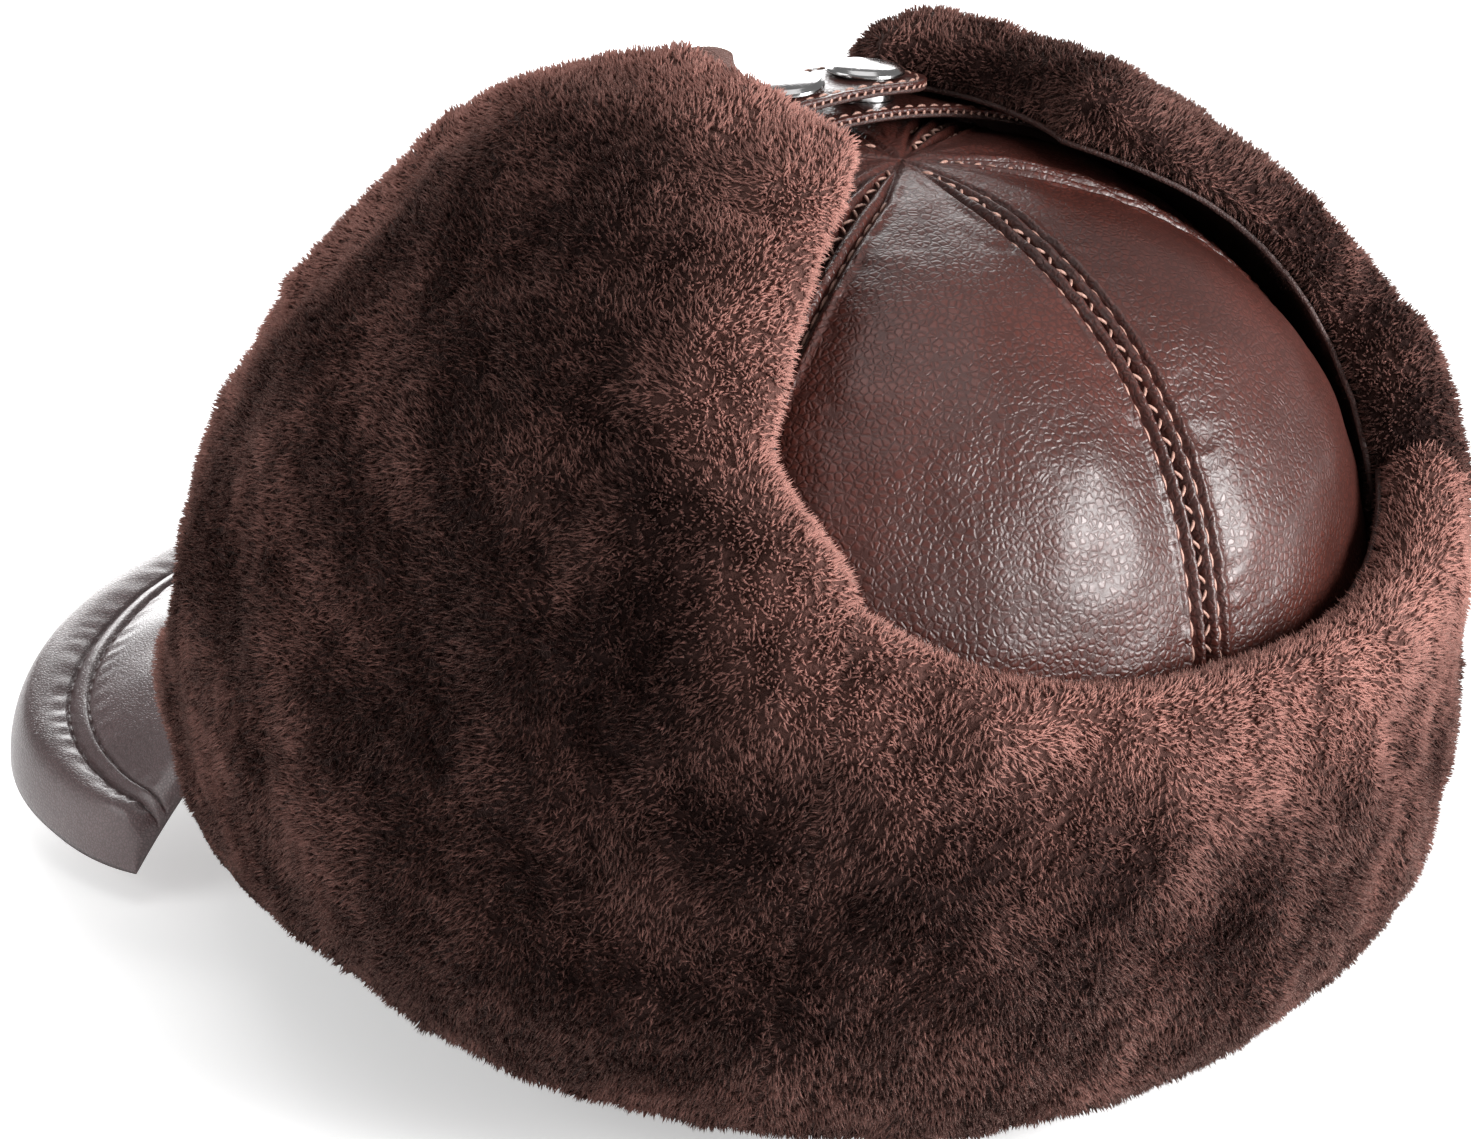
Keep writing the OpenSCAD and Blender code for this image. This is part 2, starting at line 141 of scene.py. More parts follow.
@dataclass
class SoftNoise:
    """A smooth random field in space, made of sine waves with seeded directions."""

    size: float
    seed: int
    waves: int = 16

    def __post_init__(self) -> None:
        """Draw the waves."""
        rng = np.random.default_rng(self.seed)
        way = unit(rng.normal(size=(self.waves, 3)))
        self.way = way * (2 * math.pi / self.size) * rng.uniform(0.6, 1.5, (self.waves, 1))
        self.phase = rng.uniform(0, 2 * math.pi, self.waves)

    def __call__(self, points: Array) -> Array:
        """Return the field at points, mostly from -1 to 1.

        Args:
            points: an array whose last axis is x, y, z in millimetres.

        Returns:
            One value for each point.
        """
        total = np.zeros(points.shape[:-1])
        for way, phase in zip(self.way, self.phase):
            total += np.sin(points @ way + phase)
        return total / math.sqrt(self.waves / 2) / 1.6


# ---- The crown's surface --------------------------------------------------------------


@dataclass(frozen=True)
class CrownForm:
    """The crown's outside, which every other piece is measured from."""

    half_w: float = 95
    half_l: float = 103
    height: float = 139
    rim_n: float = 2.2
    side_p: float = 2.34
    top_q: float = 3
    lean: float = 0.135
    tilt_deg: float = 7.6

    def oval(self, angle: Array) -> tuple[Array, Array]:
        """Return the rim's oval of half axes 1 at angles in degrees from the wearer's left."""
        c, s = np.cos(np.radians(angle)), np.sin(np.radians(angle))
        r = (np.abs(c) ** self.rim_n + np.abs(s) ** self.rim_n) ** (-1 / self.rim_n)
        return c * r, s * r

    def narrowing(self, share: Array) -> Array:
        """Return how much of the rim's width is left at a share of the rise."""
        return np.maximum(np.cos(np.radians(90 * np.minimum(share, 1))), 0) ** (2 / self.side_p)

    def at(self, angle: Array, share: Array, offset: Array) -> Array:
        """Return points of the crown's surface, moved out.

        Args:
            angle: degrees round the rim.
            share: share of the rise, 0 at the rim and 1 at the top.
            offset: millimetres out from the leather.

        Returns:
            Points in millimetres in the hat's frame.
        """
        angle, share, offset = np.broadcast_arrays(angle, share, offset)
        g = self.narrowing(share)
        z = (self.height + offset) * np.sin(np.radians(90 * share)) ** (2 / self.top_q)
        x, y = self.oval(angle)
        return np.stack([(self.half_w + offset) * x * g, (self.half_l + offset) * y * g + self.lean * z, z], -1)

    def share_at(self, z: Array, offset: float = 0) -> Array:
        """Return the share of the rise at a height."""
        return np.degrees(np.arcsin(clip(z / (self.height + offset)) ** (self.top_q / 2))) / 90

    def top_z(self, x: Array, y: Array) -> Array:
        """Return the crown's height over a place near its top."""
        b = (y - self.lean * self.height) / self.half_l
        r = (np.abs(x / self.half_w) ** self.rim_n + np.abs(b) ** self.rim_n) ** (1 / self.rim_n)
        return self.height * (1 - clip(r) ** self.side_p) ** (1 / self.top_q)

    def across(self, angle: Array, share: Array) -> Array:
        """Return the millimetres round the crown that an angle spans."""
        return np.radians(angle) * self.half_l * self.narrowing(share)

    def up(self, points: Array) -> Array:
        """Return the outward directions at points near the surface."""
        inner = points - np.array([0, self.lean * self.height * 0.4, self.height * 0.15])
        stretched = inner / np.array([self.half_w, self.half_l, self.height]) ** 2
        return unit(stretched)

    def stand(self, points: Array) -> Array:
        """Return points of the hat's frame in the standing frame, in metres."""
        turn = Matrix.Rotation(-math.radians(self.tilt_deg), 3, "X")
        return points @ np.array(turn).T * MM


FORM = CrownForm()


# ---- Meshes ---------------------------------------------------------------------------


@dataclass
class Surface:
    """Points and triangles of one piece, in the hat's frame."""

    points: Array
    triangles: Array
    paint: Array | None = None

    @staticmethod
    def joined(parts: Iterable["Surface"]) -> "Surface":
        """Return several unpainted surfaces as one.

        Args:
            parts: the surfaces, which needn't touch.

        Returns:
            One surface with all their points and triangles.
        """
        points, triangles, count = [], [], 0
        for part in parts:
            points.append(part.points)
            triangles.append(part.triangles + count)
            count += len(part.points)
        return Surface(np.concatenate(points), np.concatenate(triangles))

    def area(self) -> float:
        """Return the area in square millimetres."""
        a, b, c = (self.points[self.triangles[:, k]] for k in range(3))
        return float(np.linalg.norm(np.cross(b - a, c - a), axis=1).sum() / 2)


def shell(outer: Array, inner: Array, ring: bool = False, pole: bool = False) -> Surface:
    """Return the closed wall between two grids of points.

    Args:
        outer: columns x rows x 3 points of the outside, with columns anticlockwise and rows upwards.
        inner: the same for the inside.
        ring: whether the last column joins the first.
        pole: whether each grid's last row is one point.

    Returns:
        The wall as a surface, its points ordered inner grid then outer grid.
    """
    cols, rows = outer.shape[:2]
    points = np.concatenate([inner.reshape(-1, 3), outer.reshape(-1, 3)])

    def ident(side: int, i: Array, j: Array) -> Array:
        """Return the numbers of grid points."""
        col = np.where((j == rows - 1) & pole, 0, i % cols)
        return side * cols * rows + col * rows + j

    i = np.arange(cols if ring else cols - 1)
    low, high = np.zeros_like(i), np.full_like(i, rows - 1)
    ends = [
        np.stack([ident(0, i, low), ident(0, i + 1, low), ident(1, i + 1, low), ident(1, i, low)], 1),
        np.stack([ident(1, i, high), ident(1, i + 1, high), ident(0, i + 1, high), ident(0, i, high)], 1),
    ]
    i, j = (x.ravel() for x in np.meshgrid(i, np.arange(rows - 1), indexing="ij"))
    quads = [
        np.stack([ident(1, i, j), ident(1, i + 1, j), ident(1, i + 1, j + 1), ident(1, i, j + 1)], 1),
        np.stack([ident(0, i, j), ident(0, i, j + 1), ident(0, i + 1, j + 1), ident(0, i + 1, j)], 1),
    ]
    quads += ends
    if not ring:
        j = np.arange(rows - 1)
        for col, near, far in ((np.zeros_like(j), 0, 1), (np.full_like(j, cols - 1), 1, 0)):
            corners = ident(near, col, j), ident(far, col, j), ident(far, col, j + 1), ident(near, col, j + 1)
            quads.append(np.stack(corners, 1))
    q = np.concatenate(quads)
    triangles = np.concatenate([q[:, [0, 1, 2]], q[:, [0, 2, 3]]])
    a, b, c = triangles.T
    return Surface(points, triangles[(a != b) & (b != c) & (c != a)])


def build_piece(name: str, surface: Surface, finish: "Finish") -> bpy.types.Object:
    """Make a Blender piece of a surface.

    Args:
        name: the piece's name.
        surface: its points, in the hat's frame, and its triangles.
        finish: its material.

    Returns:
        The new object, at the origin.
    """
    mesh = bpy.data.meshes.new(name)
    count = len(surface.triangles)
    mesh.vertices.add(len(surface.points))
    mesh.vertices.foreach_set("co", FORM.stand(surface.points).astype(np.float32).ravel())
    mesh.loops.add(3 * count)
    mesh.loops.foreach_set("vertex_index", surface.triangles.astype(np.int32).ravel())
    mesh.polygons.add(count)
    mesh.polygons.foreach_set("loop_start", np.arange(0, 3 * count, 3, dtype=np.int32))
    mesh.update(calc_edges=True)
    mesh.polygons.foreach_set("use_smooth", np.full(count, True))
    if surface.paint is not None:
        layer = mesh.attributes.new("pile", "FLOAT_COLOR", "POINT")
        layer.data.foreach_set("color", surface.paint.astype(np.float32).ravel())
    mesh.materials.append(finish.material())
    piece = bpy.data.objects.new(name, mesh)
    bpy.context.scene.collection.objects.link(piece)
    clean_up(piece, keep_points=surface.paint is not None)
    return piece


def clean_up(piece: bpy.types.Object, keep_points: bool = False) -> None:
    """Close a piece's poles and drop what no face uses.

    Args:
        piece: the piece, whose mesh is changed.
        keep_points: whether points that meet stay apart, as on painted fur.
    """
    work = bmesh.new()
    work.from_mesh(piece.data)
    if not keep_points:
        bmesh.ops.remove_doubles(work, verts=work.verts, dist=1e-6)
    loose = [v for v in work.verts if not v.link_faces]
    bmesh.ops.delete(work, geom=loose, context="VERTS")
    work.to_mesh(piece.data)
    work.free()


def report(piece: bpy.types.Object, body: str) -> None:
    """Log a finished piece."""
    LOG.info("%s: %d faces on %s", piece.name, len(piece.data.polygons), body)


def settle(piece: bpy.types.Object, body: str, nodes: Iterable[str] = ()) -> None:
    """Hang a finished piece on its body, and let it stand for CAD nodes.

    Args:
        piece: the finished piece.
        body: the body it rides on.
        nodes: the CAD nodes it stands for.
    """
    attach(piece, body)
    if nodes:
        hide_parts(*nodes)
    report(piece, body)


# ---- Stitches -------------------------------------------------------------------------


@dataclass(frozen=True)
class Stitch:
    """One stitch: a plump little roll of thread that dives into the leather at both ends."""

    length: float = 3.2
    width: float = 0.75
    rise: float = 0.45
    sides: int = 6
    rings: int = 5

    def template(self) -> tuple[Array, Array]:
        """Make the shape that every stitch shares.

        Returns:
            Its points, as shares of its length, width and rise, and its triangles.
        """
        along = np.linspace(-1, 1, self.rings)
        turn = np.arange(self.sides) * 2 * math.pi / self.sides
        fat = np.sqrt(1 - 0.9 * along**2)
        sag = -0.8 * along**2
        points = [
            [a / 2, math.cos(t) * f / 2, math.sin(t) * f * 0.6 + s]
            for a, f, s in zip(along, fat, sag)
            for t in turn
        ]
        faces = []
        for ring in range(self.rings - 1):
            for k in range(self.sides):
                a, b = ring * self.sides + k, ring * self.sides + (k + 1) % self.sides
                c, d = a + self.sides, b + self.sides
                faces += [[a, c, b], [b, c, d]]
        last = (self.rings - 1) * self.sides
        for k in range(1, self.sides - 1):
            faces += [[0, k, k + 1], [last, last + k + 1, last + k]]
        return np.array(points), np.array(faces)

    def sewn(self, middles: Array, along: Array, up: Array) -> Surface:
        """Sew a row of stitches.

        Args:
            middles: the places of the stitches.
            along: the direction that each one lies in.
            up: the direction of each one's top.

        Returns:
            All the stitches.
        """
        points, faces = self.template()
        along = unit(along)
        side = unit(np.cross(up, along))
        up = np.cross(along, side)
        size = points * np.array([self.length, self.width, self.rise])
        placed = (
            middles[:, None]
            + size[None, :, 0, None] * along[:, None]
            + size[None, :, 1, None] * side[:, None]
            + size[None, :, 2, None] * up[:, None]
        )
        shift = np.arange(len(middles))[:, None, None] * len(points)
        return Surface(placed.reshape(-1, 3), (faces[None] + shift).reshape(-1, 3))


def walk(line: Array, pitch: float, start: float = 0) -> tuple[Array, Array]:
    """Measure off places along a line.

    Args:
        line: the line's points.
        pitch: the millimetres from one place to the next.
        start: how far along the line the first place is.

    Returns:
        The places, and the line's directions there.
    """

    def points_at(way: Array) -> Array:
        """Return the line's points at distances along it."""
        return np.stack([np.interp(way, run, line[:, k]) for k in range(3)], 1)

    step = np.linalg.norm(np.diff(line, axis=0), axis=1)
    run = np.concatenate([[0], np.cumsum(step)])
    stops = np.arange(start, run[-1], pitch)
    return points_at(stops), points_at(stops + 0.5) - points_at(stops - 0.5)


# ---- Shader maths ---------------------------------------------------------------------


class Flow:
    """A number that runs through a material's nodes, so that sums are written as Python."""

    def __init__(self, paint: "Paint", socket: bpy.types.NodeSocket) -> None:
        """Wrap an output socket."""
        self.paint = paint
        self.socket = socket

    def sum_with(self, operation: str, *others: "Flow | float") -> "Flow":
        """Return the result of a Math node on this value and others."""
        return self.paint.node("ShaderNodeMath", {"operation": operation}, dict(enumerate((self, *others))))

    def __add__(self, other: "Flow | float") -> "Flow":
        """Return self + other."""
        return self.sum_with("ADD", other)

    def __radd__(self, other: float) -> "Flow":
        """Return other + self."""
        return self.sum_with("ADD", other)

    def __mul__(self, other: "Flow | float") -> "Flow":
        """Return self * other."""
        return self.sum_with("MULTIPLY", other)

    def __rmul__(self, other: float) -> "Flow":
        """Return other * self."""
        return self.sum_with("MULTIPLY", other)

    def __sub__(self, other: "Flow | float") -> "Flow":
        """Return self - other."""
        return self.sum_with("SUBTRACT", other)

    def __rsub__(self, other: float) -> "Flow":
        """Return other - self."""
        return self.paint.node("ShaderNodeMath", {"operation": "SUBTRACT"}, {0: other, 1: self})

    def __pow__(self, other: float) -> "Flow":
        """Return self ** other."""
        return self.sum_with("POWER", other)

    def stepped(self, low: float, high: float) -> "Flow":
        """Return a smooth step from 0 at low to 1 at high."""
        ends = {"Value": self, "From Min": low, "From Max": high}
        return self.paint.node("ShaderNodeMapRange", {"interpolation_type": "SMOOTHSTEP"}, ends)


class Paint:
    """The node tree of one material, built by one method for every node."""

    def __init__(self, name: str) -> None:
        """Start a material with only its shader and output."""
        self.material = bpy.data.materials.new(name)
        self.material.use_nodes = True
        self.tree = self.material.node_tree
        self.shader = next(n for n in self.tree.nodes if n.type == "BSDF_PRINCIPLED")

    def node(self, kind: str, settings: dict, inputs: dict, output: int | str = 0) -> Flow:
        """Add a node.

        Args:
            kind: the node's type.
            settings: its properties, set first.
            inputs: a value or a Flow for each socket, by name or number.
            output: the socket to return.

        Returns:
            The chosen output.
        """
        made = self.tree.nodes.new(kind)
        for key, value in settings.items():
            setattr(made, key, value)
        for key, value in inputs.items():
            if isinstance(value, Flow):
                self.tree.links.new(value.socket, made.inputs[key])
            else:
                made.inputs[key].default_value = value
        return Flow(self, made.outputs[output])

    def place(self, per_mm: float = 1.0, stretch: tuple[float, float, float] = (1, 1, 1)) -> Flow:
        """Read Object coordinates in millimetres.

        Args:
            per_mm: how many units of the pattern a millimetre is.
            stretch: further scales along x, y and z.

        Returns:
            The scaled coordinates.
        """
        where = self.node("ShaderNodeTexCoord", {}, {}, "Object")
        scale = tuple(per_mm / MM * s for s in stretch)
        return self.node("ShaderNodeMapping", {}, {"Vector": where, "Scale": scale})

    def noise(self, where: Flow, scale: float, detail: float = 2.0, rough: float = 0.5) -> Flow:
        """Return a noise of places in millimetres, where 1 / scale is its size."""
        values = {"Vector": where, "Scale": scale, "Detail": detail, "Roughness": rough}
        return self.node("ShaderNodeTexNoise", {}, values)

    def blend(self, share: "Flow | float", low: "Flow | tuple", high: "Flow | tuple") -> Flow:
        """Return a colour between low and high."""
        ends = [c if isinstance(c, Flow) else (*c, 1) for c in (low, high)]
        return self.node("ShaderNodeMix", {"data_type": "RGBA"}, {0: share, 6: ends[0], 7: ends[1]}, 2)

    def bump(self, height: Flow, depth_mm: float, strength: float = 1.0) -> None:
        """Drive the shader's Normal by a height.

        Args:
            height: the height, mostly from 0 to 1.
            depth_mm: the millimetres that a height of 1 stands for.
            strength: the share of the bump that is used.
        """
        values = {"Height": height, "Distance": depth_mm * MM, "Strength": strength}
        normal = self.node("ShaderNodeBump", {}, values)
        self.tree.links.new(normal.socket, self.shader.inputs["Normal"])

    def set(self, **values: "Flow | float | tuple") -> None:
        """Set or link the shader's sockets.

        Args:
            **values: a value or a Flow for each socket, named with _ for a space.
        """
        for key, value in values.items():
            socket = self.shader.inputs[key.replace("_", " ")]
            if isinstance(value, Flow):
                self.tree.links.new(value.socket, socket)
            else:
                socket.default_value = (*value, 1) if isinstance(value, tuple) else value


# ---- Finishes -------------------------------------------------------------------------


@dataclass(frozen=True)
class Finish:
    """A material that is made once and shared by its pieces."""

    name: str

    def dress(self, paint: Paint) -> None:
        """Build the material's nodes.

        Args:
            paint: the material that is dressed.
        """
        raise NotImplementedError

    def material(self) -> bpy.types.Material:
        """Make the material on the first call.

        Returns:
            The material, which all pieces of this finish share.
        """
        label = f"{self.name}_finish"
        found = bpy.data.materials.get(label)
        if found is None:
            paint = Paint(label)
            self.dress(paint)
            found = paint.material
        return found


@dataclass(frozen=True)
class GrainedLeather(Finish):
    """Cow leather with a pebbled grain, a rub of lighter colour and a soft gloss."""

    dark: tuple = (0.034, 0.0078, 0.0052)
    light: tuple = (0.076, 0.0182, 0.0125)
    pebble: Pebble = Pebble.COARSE
    rough: float = 0.35
    depth: float = 0.15
    coat: float = 0.22

    def dress(self, paint: Paint) -> None:
        """Build pebbles, creases, pores, slow colour changes and painted shade in the creases between the pebbles.

        Args:
            paint: the material that is dressed.
        """
        where = paint.place()
        wobble = paint.noise(where, 0.5, 2)
        drift = paint.node("ShaderNodeTexNoise", {}, {"Vector": where, "Scale": 0.7}, "Color")
        warped = paint.node(
            "ShaderNodeVectorMath", {"operation": "MULTIPLY_ADD"}, {0: drift, 1: (0.7, 0.7, 0.7), 2: where}
        )
        scale = 1 / self.pebble.value
        edges = paint.node(
            "ShaderNodeTexVoronoi", {"feature": "DISTANCE_TO_EDGE"}, {"Vector": warped, "Scale": scale}, "Distance"
        )
        cells = paint.node(
            "ShaderNodeTexVoronoi", {"feature": "SMOOTH_F1"}, {"Vector": warped, "Scale": 0.8 * scale}, "Distance"
        )
        pebbles = edges.stepped(0.0, 0.28)
        pores = paint.noise(where, 4.5, 2)
        slow = paint.noise(where, 0.035, 3)
        cloud = slow.stepped(0.32, 0.68)
        colour = paint.blend(0.35 + 0.65 * cloud, self.dark, self.light)
        # Painted shade: the colour is darkened in the creases between the pebbles.
        crease_shaded = paint.blend(pebbles * 0.6 + 0.4, tuple(c * 0.62 for c in self.dark), colour)
        height = pebbles * 0.65 + (1 - cells) * 0.5 + pores * 0.12 + wobble * 0.7
        paint.set(
            Base_Color=crease_shaded,
            Roughness=self.rough + 0.10 * (1 - pebbles) + 0.08 * (slow - 0.5),
            Coat_Weight=self.coat,
            Coat_Roughness=0.27,
            Specular_IOR_Level=0.45,
        )
        paint.bump(height, self.depth, 0.9)


@dataclass(frozen=True)
class Fleece(Finish):
    """Dense sheared fur: warm at its tips, with clouded patches; near black at its roots as painted shade deep in
    the pile, and lighter along its free edges as a painted highlight.
    """

    # root: near black, painted shade deep in the pile, on the core and the feet of the tufts.
    root: tuple = (0.0040, 0.0014, 0.0012)
    dark: tuple = (0.0150, 0.0042, 0.0034)
    light: tuple = (0.40, 0.190, 0.158)

    def dress(self, paint: Paint) -> None:
        """Build the pile's colour from each tuft's own shade, the patches of the pelt and the painted highlight
        along the free edges.

        Args:
            paint: the material that is dressed.
        """
        pile = paint.node("ShaderNodeAttribute", {"attribute_name": "pile"}, {}, "Color")
        parts = paint.tree.nodes.new("ShaderNodeSeparateColor")
        paint.tree.links.new(pile.socket, parts.inputs[0])
        tip, shade, rim = (Flow(paint, parts.outputs[k]) for k in range(3))
        where = paint.place()
        patches = paint.noise(where, 0.045, 4, 0.62).stepped(0.38, 0.66)
        clumps = paint.noise(where, 0.24, 3, 0.6).stepped(0.34, 0.68)
        grain = paint.noise(where, 1.6, 2, 0.6).stepped(0.3, 0.72)
        # rim is a painted highlight: the pile is painted lighter along its free edges, standing in for the sheen of
        # the fibres there.
        warm = 0.20 * shade**1.8 + 0.24 * patches + 0.13 * clumps + 0.10 * grain + 0.62 * rim - 0.05
        colour = paint.blend(warm.stepped(0.0, 1.0), self.dark, self.light)
        paint.set(
            # The colour darkens to the root colour near the feet: painted shade deep in the pile.
            Base_Color=paint.blend(tip.stepped(0.0, 0.75), self.root, colour),
            Roughness=0.78 + 0.12 * grain,
            Sheen_Weight=0.22,
            Sheen_Roughness=0.35,
            Sheen_Tint=(0.80, 0.50, 0.43),
            Specular_IOR_Level=0.08,
        )
        paint.bump(grain + clumps * 0.5, 0.5, 0.6)


@dataclass(frozen=True)
class Thread(Finish):
    """Waxed sewing thread with its twist."""

    colour: tuple = (0.42, 0.235, 0.185)
    rough: float = 0.42

    def dress(self, paint: Paint) -> None:
        """Build the twist of the plies and small changes of colour.

        Args:
            paint: the material that is dressed.
        """
        where = paint.place()
        plies = {"Vector": where, "Scale": 0.55, "Distortion": 2.5}
        twist = paint.node("ShaderNodeTexWave", {"wave_profile": "SAW"}, plies)
        hair = paint.noise(where, 5.0, 2)
        dark = tuple(0.45 * c for c in self.colour)
        paint.set(
            Base_Color=paint.blend((0.25 + 0.5 * twist + 0.4 * hair).stepped(0.1, 0.9), dark, self.colour),
            Roughness=self.rough + 0.15 * hair,
            Specular_IOR_Level=0.5,
        )
        paint.bump(twist + hair * 0.4, 0.08)


@dataclass(frozen=True)
class SnapMetal(Finish):
    """Polished dark nickel with fine turning lines."""

    colour: tuple = (0.46, 0.45, 0.45)
    rough: float = 0.13

    def dress(self, paint: Paint) -> None:
        """Build faint smears and scratches in the polish.

        Args:
            paint: the material that is dressed.
        """
        where = paint.place()
        smear = paint.noise(where, 0.25, 3)
        scratch = paint.noise(paint.place(1.0, (9, 0.6, 0.6)), 0.8, 2).stepped(0.55, 0.75)
        paint.set(
            Base_Color=paint.blend(smear, tuple(0.72 * c for c in self.colour), self.colour),
            Metallic=1.0,
            Roughness=self.rough + 0.10 * smear + 0.06 * scratch,
        )
        paint.bump(scratch, 0.01, 0.4)


@dataclass(frozen=True)
class QuiltedSatin(Finish):
    """Black satin of the lining, woven fine, with a soft sheen."""

    dark: tuple = (0.012, 0.010, 0.010)
    light: tuple = (0.040, 0.032, 0.030)

    def dress(self, paint: Paint) -> None:
        """Build the weave and the sheen's changes.

        Args:
            paint: the material that is dressed.
        """
        where = paint.place()
        warp, weft = (
            paint.node(
                "ShaderNodeTexWave", {"bands_direction": way}, {"Vector": where, "Scale": scale, "Distortion": 0.4}
            )
            for way, scale in (("DIAGONAL", 0.8), ("Z", 0.9))
        )
        cloud = paint.noise(where, 0.08, 3)
        paint.set(
            Base_Color=paint.blend((0.5 * warp + 0.5 * cloud).stepped(0.2, 0.8), self.dark, self.light),
            Roughness=0.42 + 0.15 * cloud,
            Sheen_Weight=0.2,
        )
        paint.bump(warp * 0.5 + weft * 0.5, 0.05, 0.6)


@dataclass(frozen=True)
class PaleFloor(Finish):
    """A plain pale studio floor."""

    colour: tuple = (0.93, 0.93, 0.93)
    glow: float = 0.40

    def dress(self, paint: Paint) -> None:
        """Build a faint tooth so that the floor isn't one flat value.

        Args:
            paint: the material that is dressed.
        """
        cloud = paint.noise(paint.place(), 0.004, 2)
        paint.set(
            Base_Color=paint.blend(cloud, tuple(0.985 * c for c in self.colour), self.colour),
            Roughness=0.85,
            Emission_Color=self.colour,
            Emission_Strength=self.glow,
        )


CROWN_LEATHER = GrainedLeather("crown_leather")
VISOR_LEATHER = GrainedLeather(
    "visor_leather", (0.050, 0.026, 0.026), (0.120, 0.072, 0.074), Pebble.FINE, 0.33, 0.10, 0.50
)
BACKING_LEATHER = GrainedLeather(
    "backing_leather", (0.028, 0.010, 0.008), (0.062, 0.022, 0.017), Pebble.FINE, 0.48, 0.10, 0.0
)
FLEECE = Fleece("fleece")
CROWN_THREAD = Thread("crown_thread")
VISOR_THREAD = Thread("visor_thread", (0.070, 0.036, 0.033), 0.5)
LINING_THREAD = Thread("lining_thread", (0.045, 0.038, 0.036), 0.5)
METAL = SnapMetal("snap_metal")
SATIN = QuiltedSatin("quilted_satin")
FLOOR = PaleFloor("pale_floor")


# ---- The crown ------------------------------------------------------------------------


@dataclass
class Crown:
    """Six leather panels over wadding, the seams between them, the lining and the sweatband."""

    leather_t: float = 1.2
    padding_t: float = 4.0
    lining_t: float = 1.0
    band_t: float = 1.4
    band_h: float = 32
    panel_a: float = 60
    seam_row: float = 3.4
    ridge_h: float = 0.95
    groove_d: float = 1.5
    puff: float = 2.3
    row_depth: float = -1.05
    side_pitch: float = 4.1
    zigzag_pitch: float = 2.9
    bead_pitch: float = 2.5
    pucker_pitch: float = 3.7
    quilt_pitch: float = 34
    quilt_h: float = 1.5
    band_pitch: float = 4.2
    band_row: float = 4
    band_clear: float = 0.25
    even_rise: float = 0.93
    panels: dict = field(
        default_factory=lambda: {
            "rear_left": 30,
            "rear_right": 90,
            "side_right": 150,
            "front_right": 210,
            "front_left": 270,
            "side_left": 330,
        }
    )

    def relief(self, angle: Array, share: Array, seam: float) -> Array:
        """Return how far the leather stands off the plain crown, from its seams, ridges and puckers.

        Args:
            angle: degrees round the rim, within the panel that starts at seam.
            share: share of the rise.
            seam: the angle of the panel's first seam.

        Returns:
            Millimetres out from the plain crown.
        """
        from_first = FORM.across(angle - seam, share)
        from_last = FORM.across(seam + self.panel_a - angle, share)
        s = np.minimum(np.abs(from_first), np.abs(from_last))
        room = clip((np.abs(from_first) + np.abs(from_last)) / 22)
        points = FORM.at(angle, share, 0)
        run = points[..., 2] * 1.15
        wobble = SoftNoise(16, 5)(points)
        row = self.seam_row * np.minimum(room, 1)
        beads = 0.16 * np.cos(run * 2 * math.pi / self.bead_pitch + 1.2 * wobble)
        ridge = (self.ridge_h + beads) * hill(s - row * 0.52, 0.95)
        outer_roll = (0.55 + 0.5 * beads) * hill(s - row - 1.25, 0.9)
        grooves = -self.groove_d * hill(s, 0.62) - 0.85 * hill(s - row, 0.5)
        fan = SoftNoise(9, 8)(points)
        folds = np.cos(run * 2 * math.pi / self.pucker_pitch + 2.2 * fan + 0.12 * s)
        puckers = 0.30 * folds * np.exp(-np.maximum(s - row - 1, 0) / 6.5)
        puckers *= smooth((s - row - 0.4) / 1.4) * (0.55 + 0.45 * fan)
        belly = self.puff * smooth((share - 0.16) / 0.30) * (1 - np.exp(-np.maximum(s - row, 0) / 11)) - 0.6
        soft = 0.35 * SoftNoise(38, 3)(points) + 0.16 * SoftNoise(14, 4)(points)
        return (ridge + outer_roll + grooves + puckers) * room + belly + soft * smooth((s - row) / 10) * room

    def panel(self, seam: float) -> Surface:
        """Cut one leather panel.

        Args:
            seam: the angle of its first seam.

        Returns:
            The panel, with its points crowded together at both seams.
        """
        near = np.concatenate([np.arange(0, 0.10, 0.0046), np.arange(0.105, 0.22, 0.0095)])
        u = np.concatenate([near, np.linspace(0.235, 0.765, 26), 1 - near[::-1]])
        low = FORM.share_at(np.linspace(0, self.even_rise, 130) ** 0.9 * FORM.height)
        share = np.concatenate([low, np.linspace(low[-1], 1, 70)[1:]])
        angle = seam + self.panel_a * u
        a, t = np.meshgrid(angle, share, indexing="ij")
        offset = self.relief(a, t, seam)
        return shell(FORM.at(a, t, offset), FORM.at(a, t, offset - self.leather_t))

    def seam_stitches(self, seam: float) -> Surface:
        """Sew a seam's three rows: a zigzag in the middle and a line on each side.

        Args:
            seam: the seam's angle.

        Returns:
            The stitches of all three rows.
        """
        share = np.linspace(FORM.share_at(0.5), 0.975, 600)
        rows = []
        for side in (-1, 1):
            row = side * self.seam_row
            turn = np.degrees(row / (FORM.half_l * FORM.narrowing(share)))
            line = FORM.at(seam + turn, share, self.row_depth + 0.25)
            middles, along = walk(line, self.side_pitch, 1 + side)
            rows.append(Stitch(3.5, 0.62, 0.5).sewn(middles, along, FORM.up(middles)))
        line = FORM.at(np.full_like(share, seam), share, -self.groove_d * 0.35)
        middles, along = walk(line, self.zigzag_pitch, 1.2)
        up = FORM.up(middles)
        side_way = unit(np.cross(up, along))
        zig = np.where(np.arange(len(middles)) % 2 == 0, 1.0, -1.0)[:, None]
        rows.append(Stitch(2.9, 0.6, 0.55).sewn(middles + 0.05 * up, unit(along) + 0.85 * zig * side_way, up))
        return Surface.joined(rows)

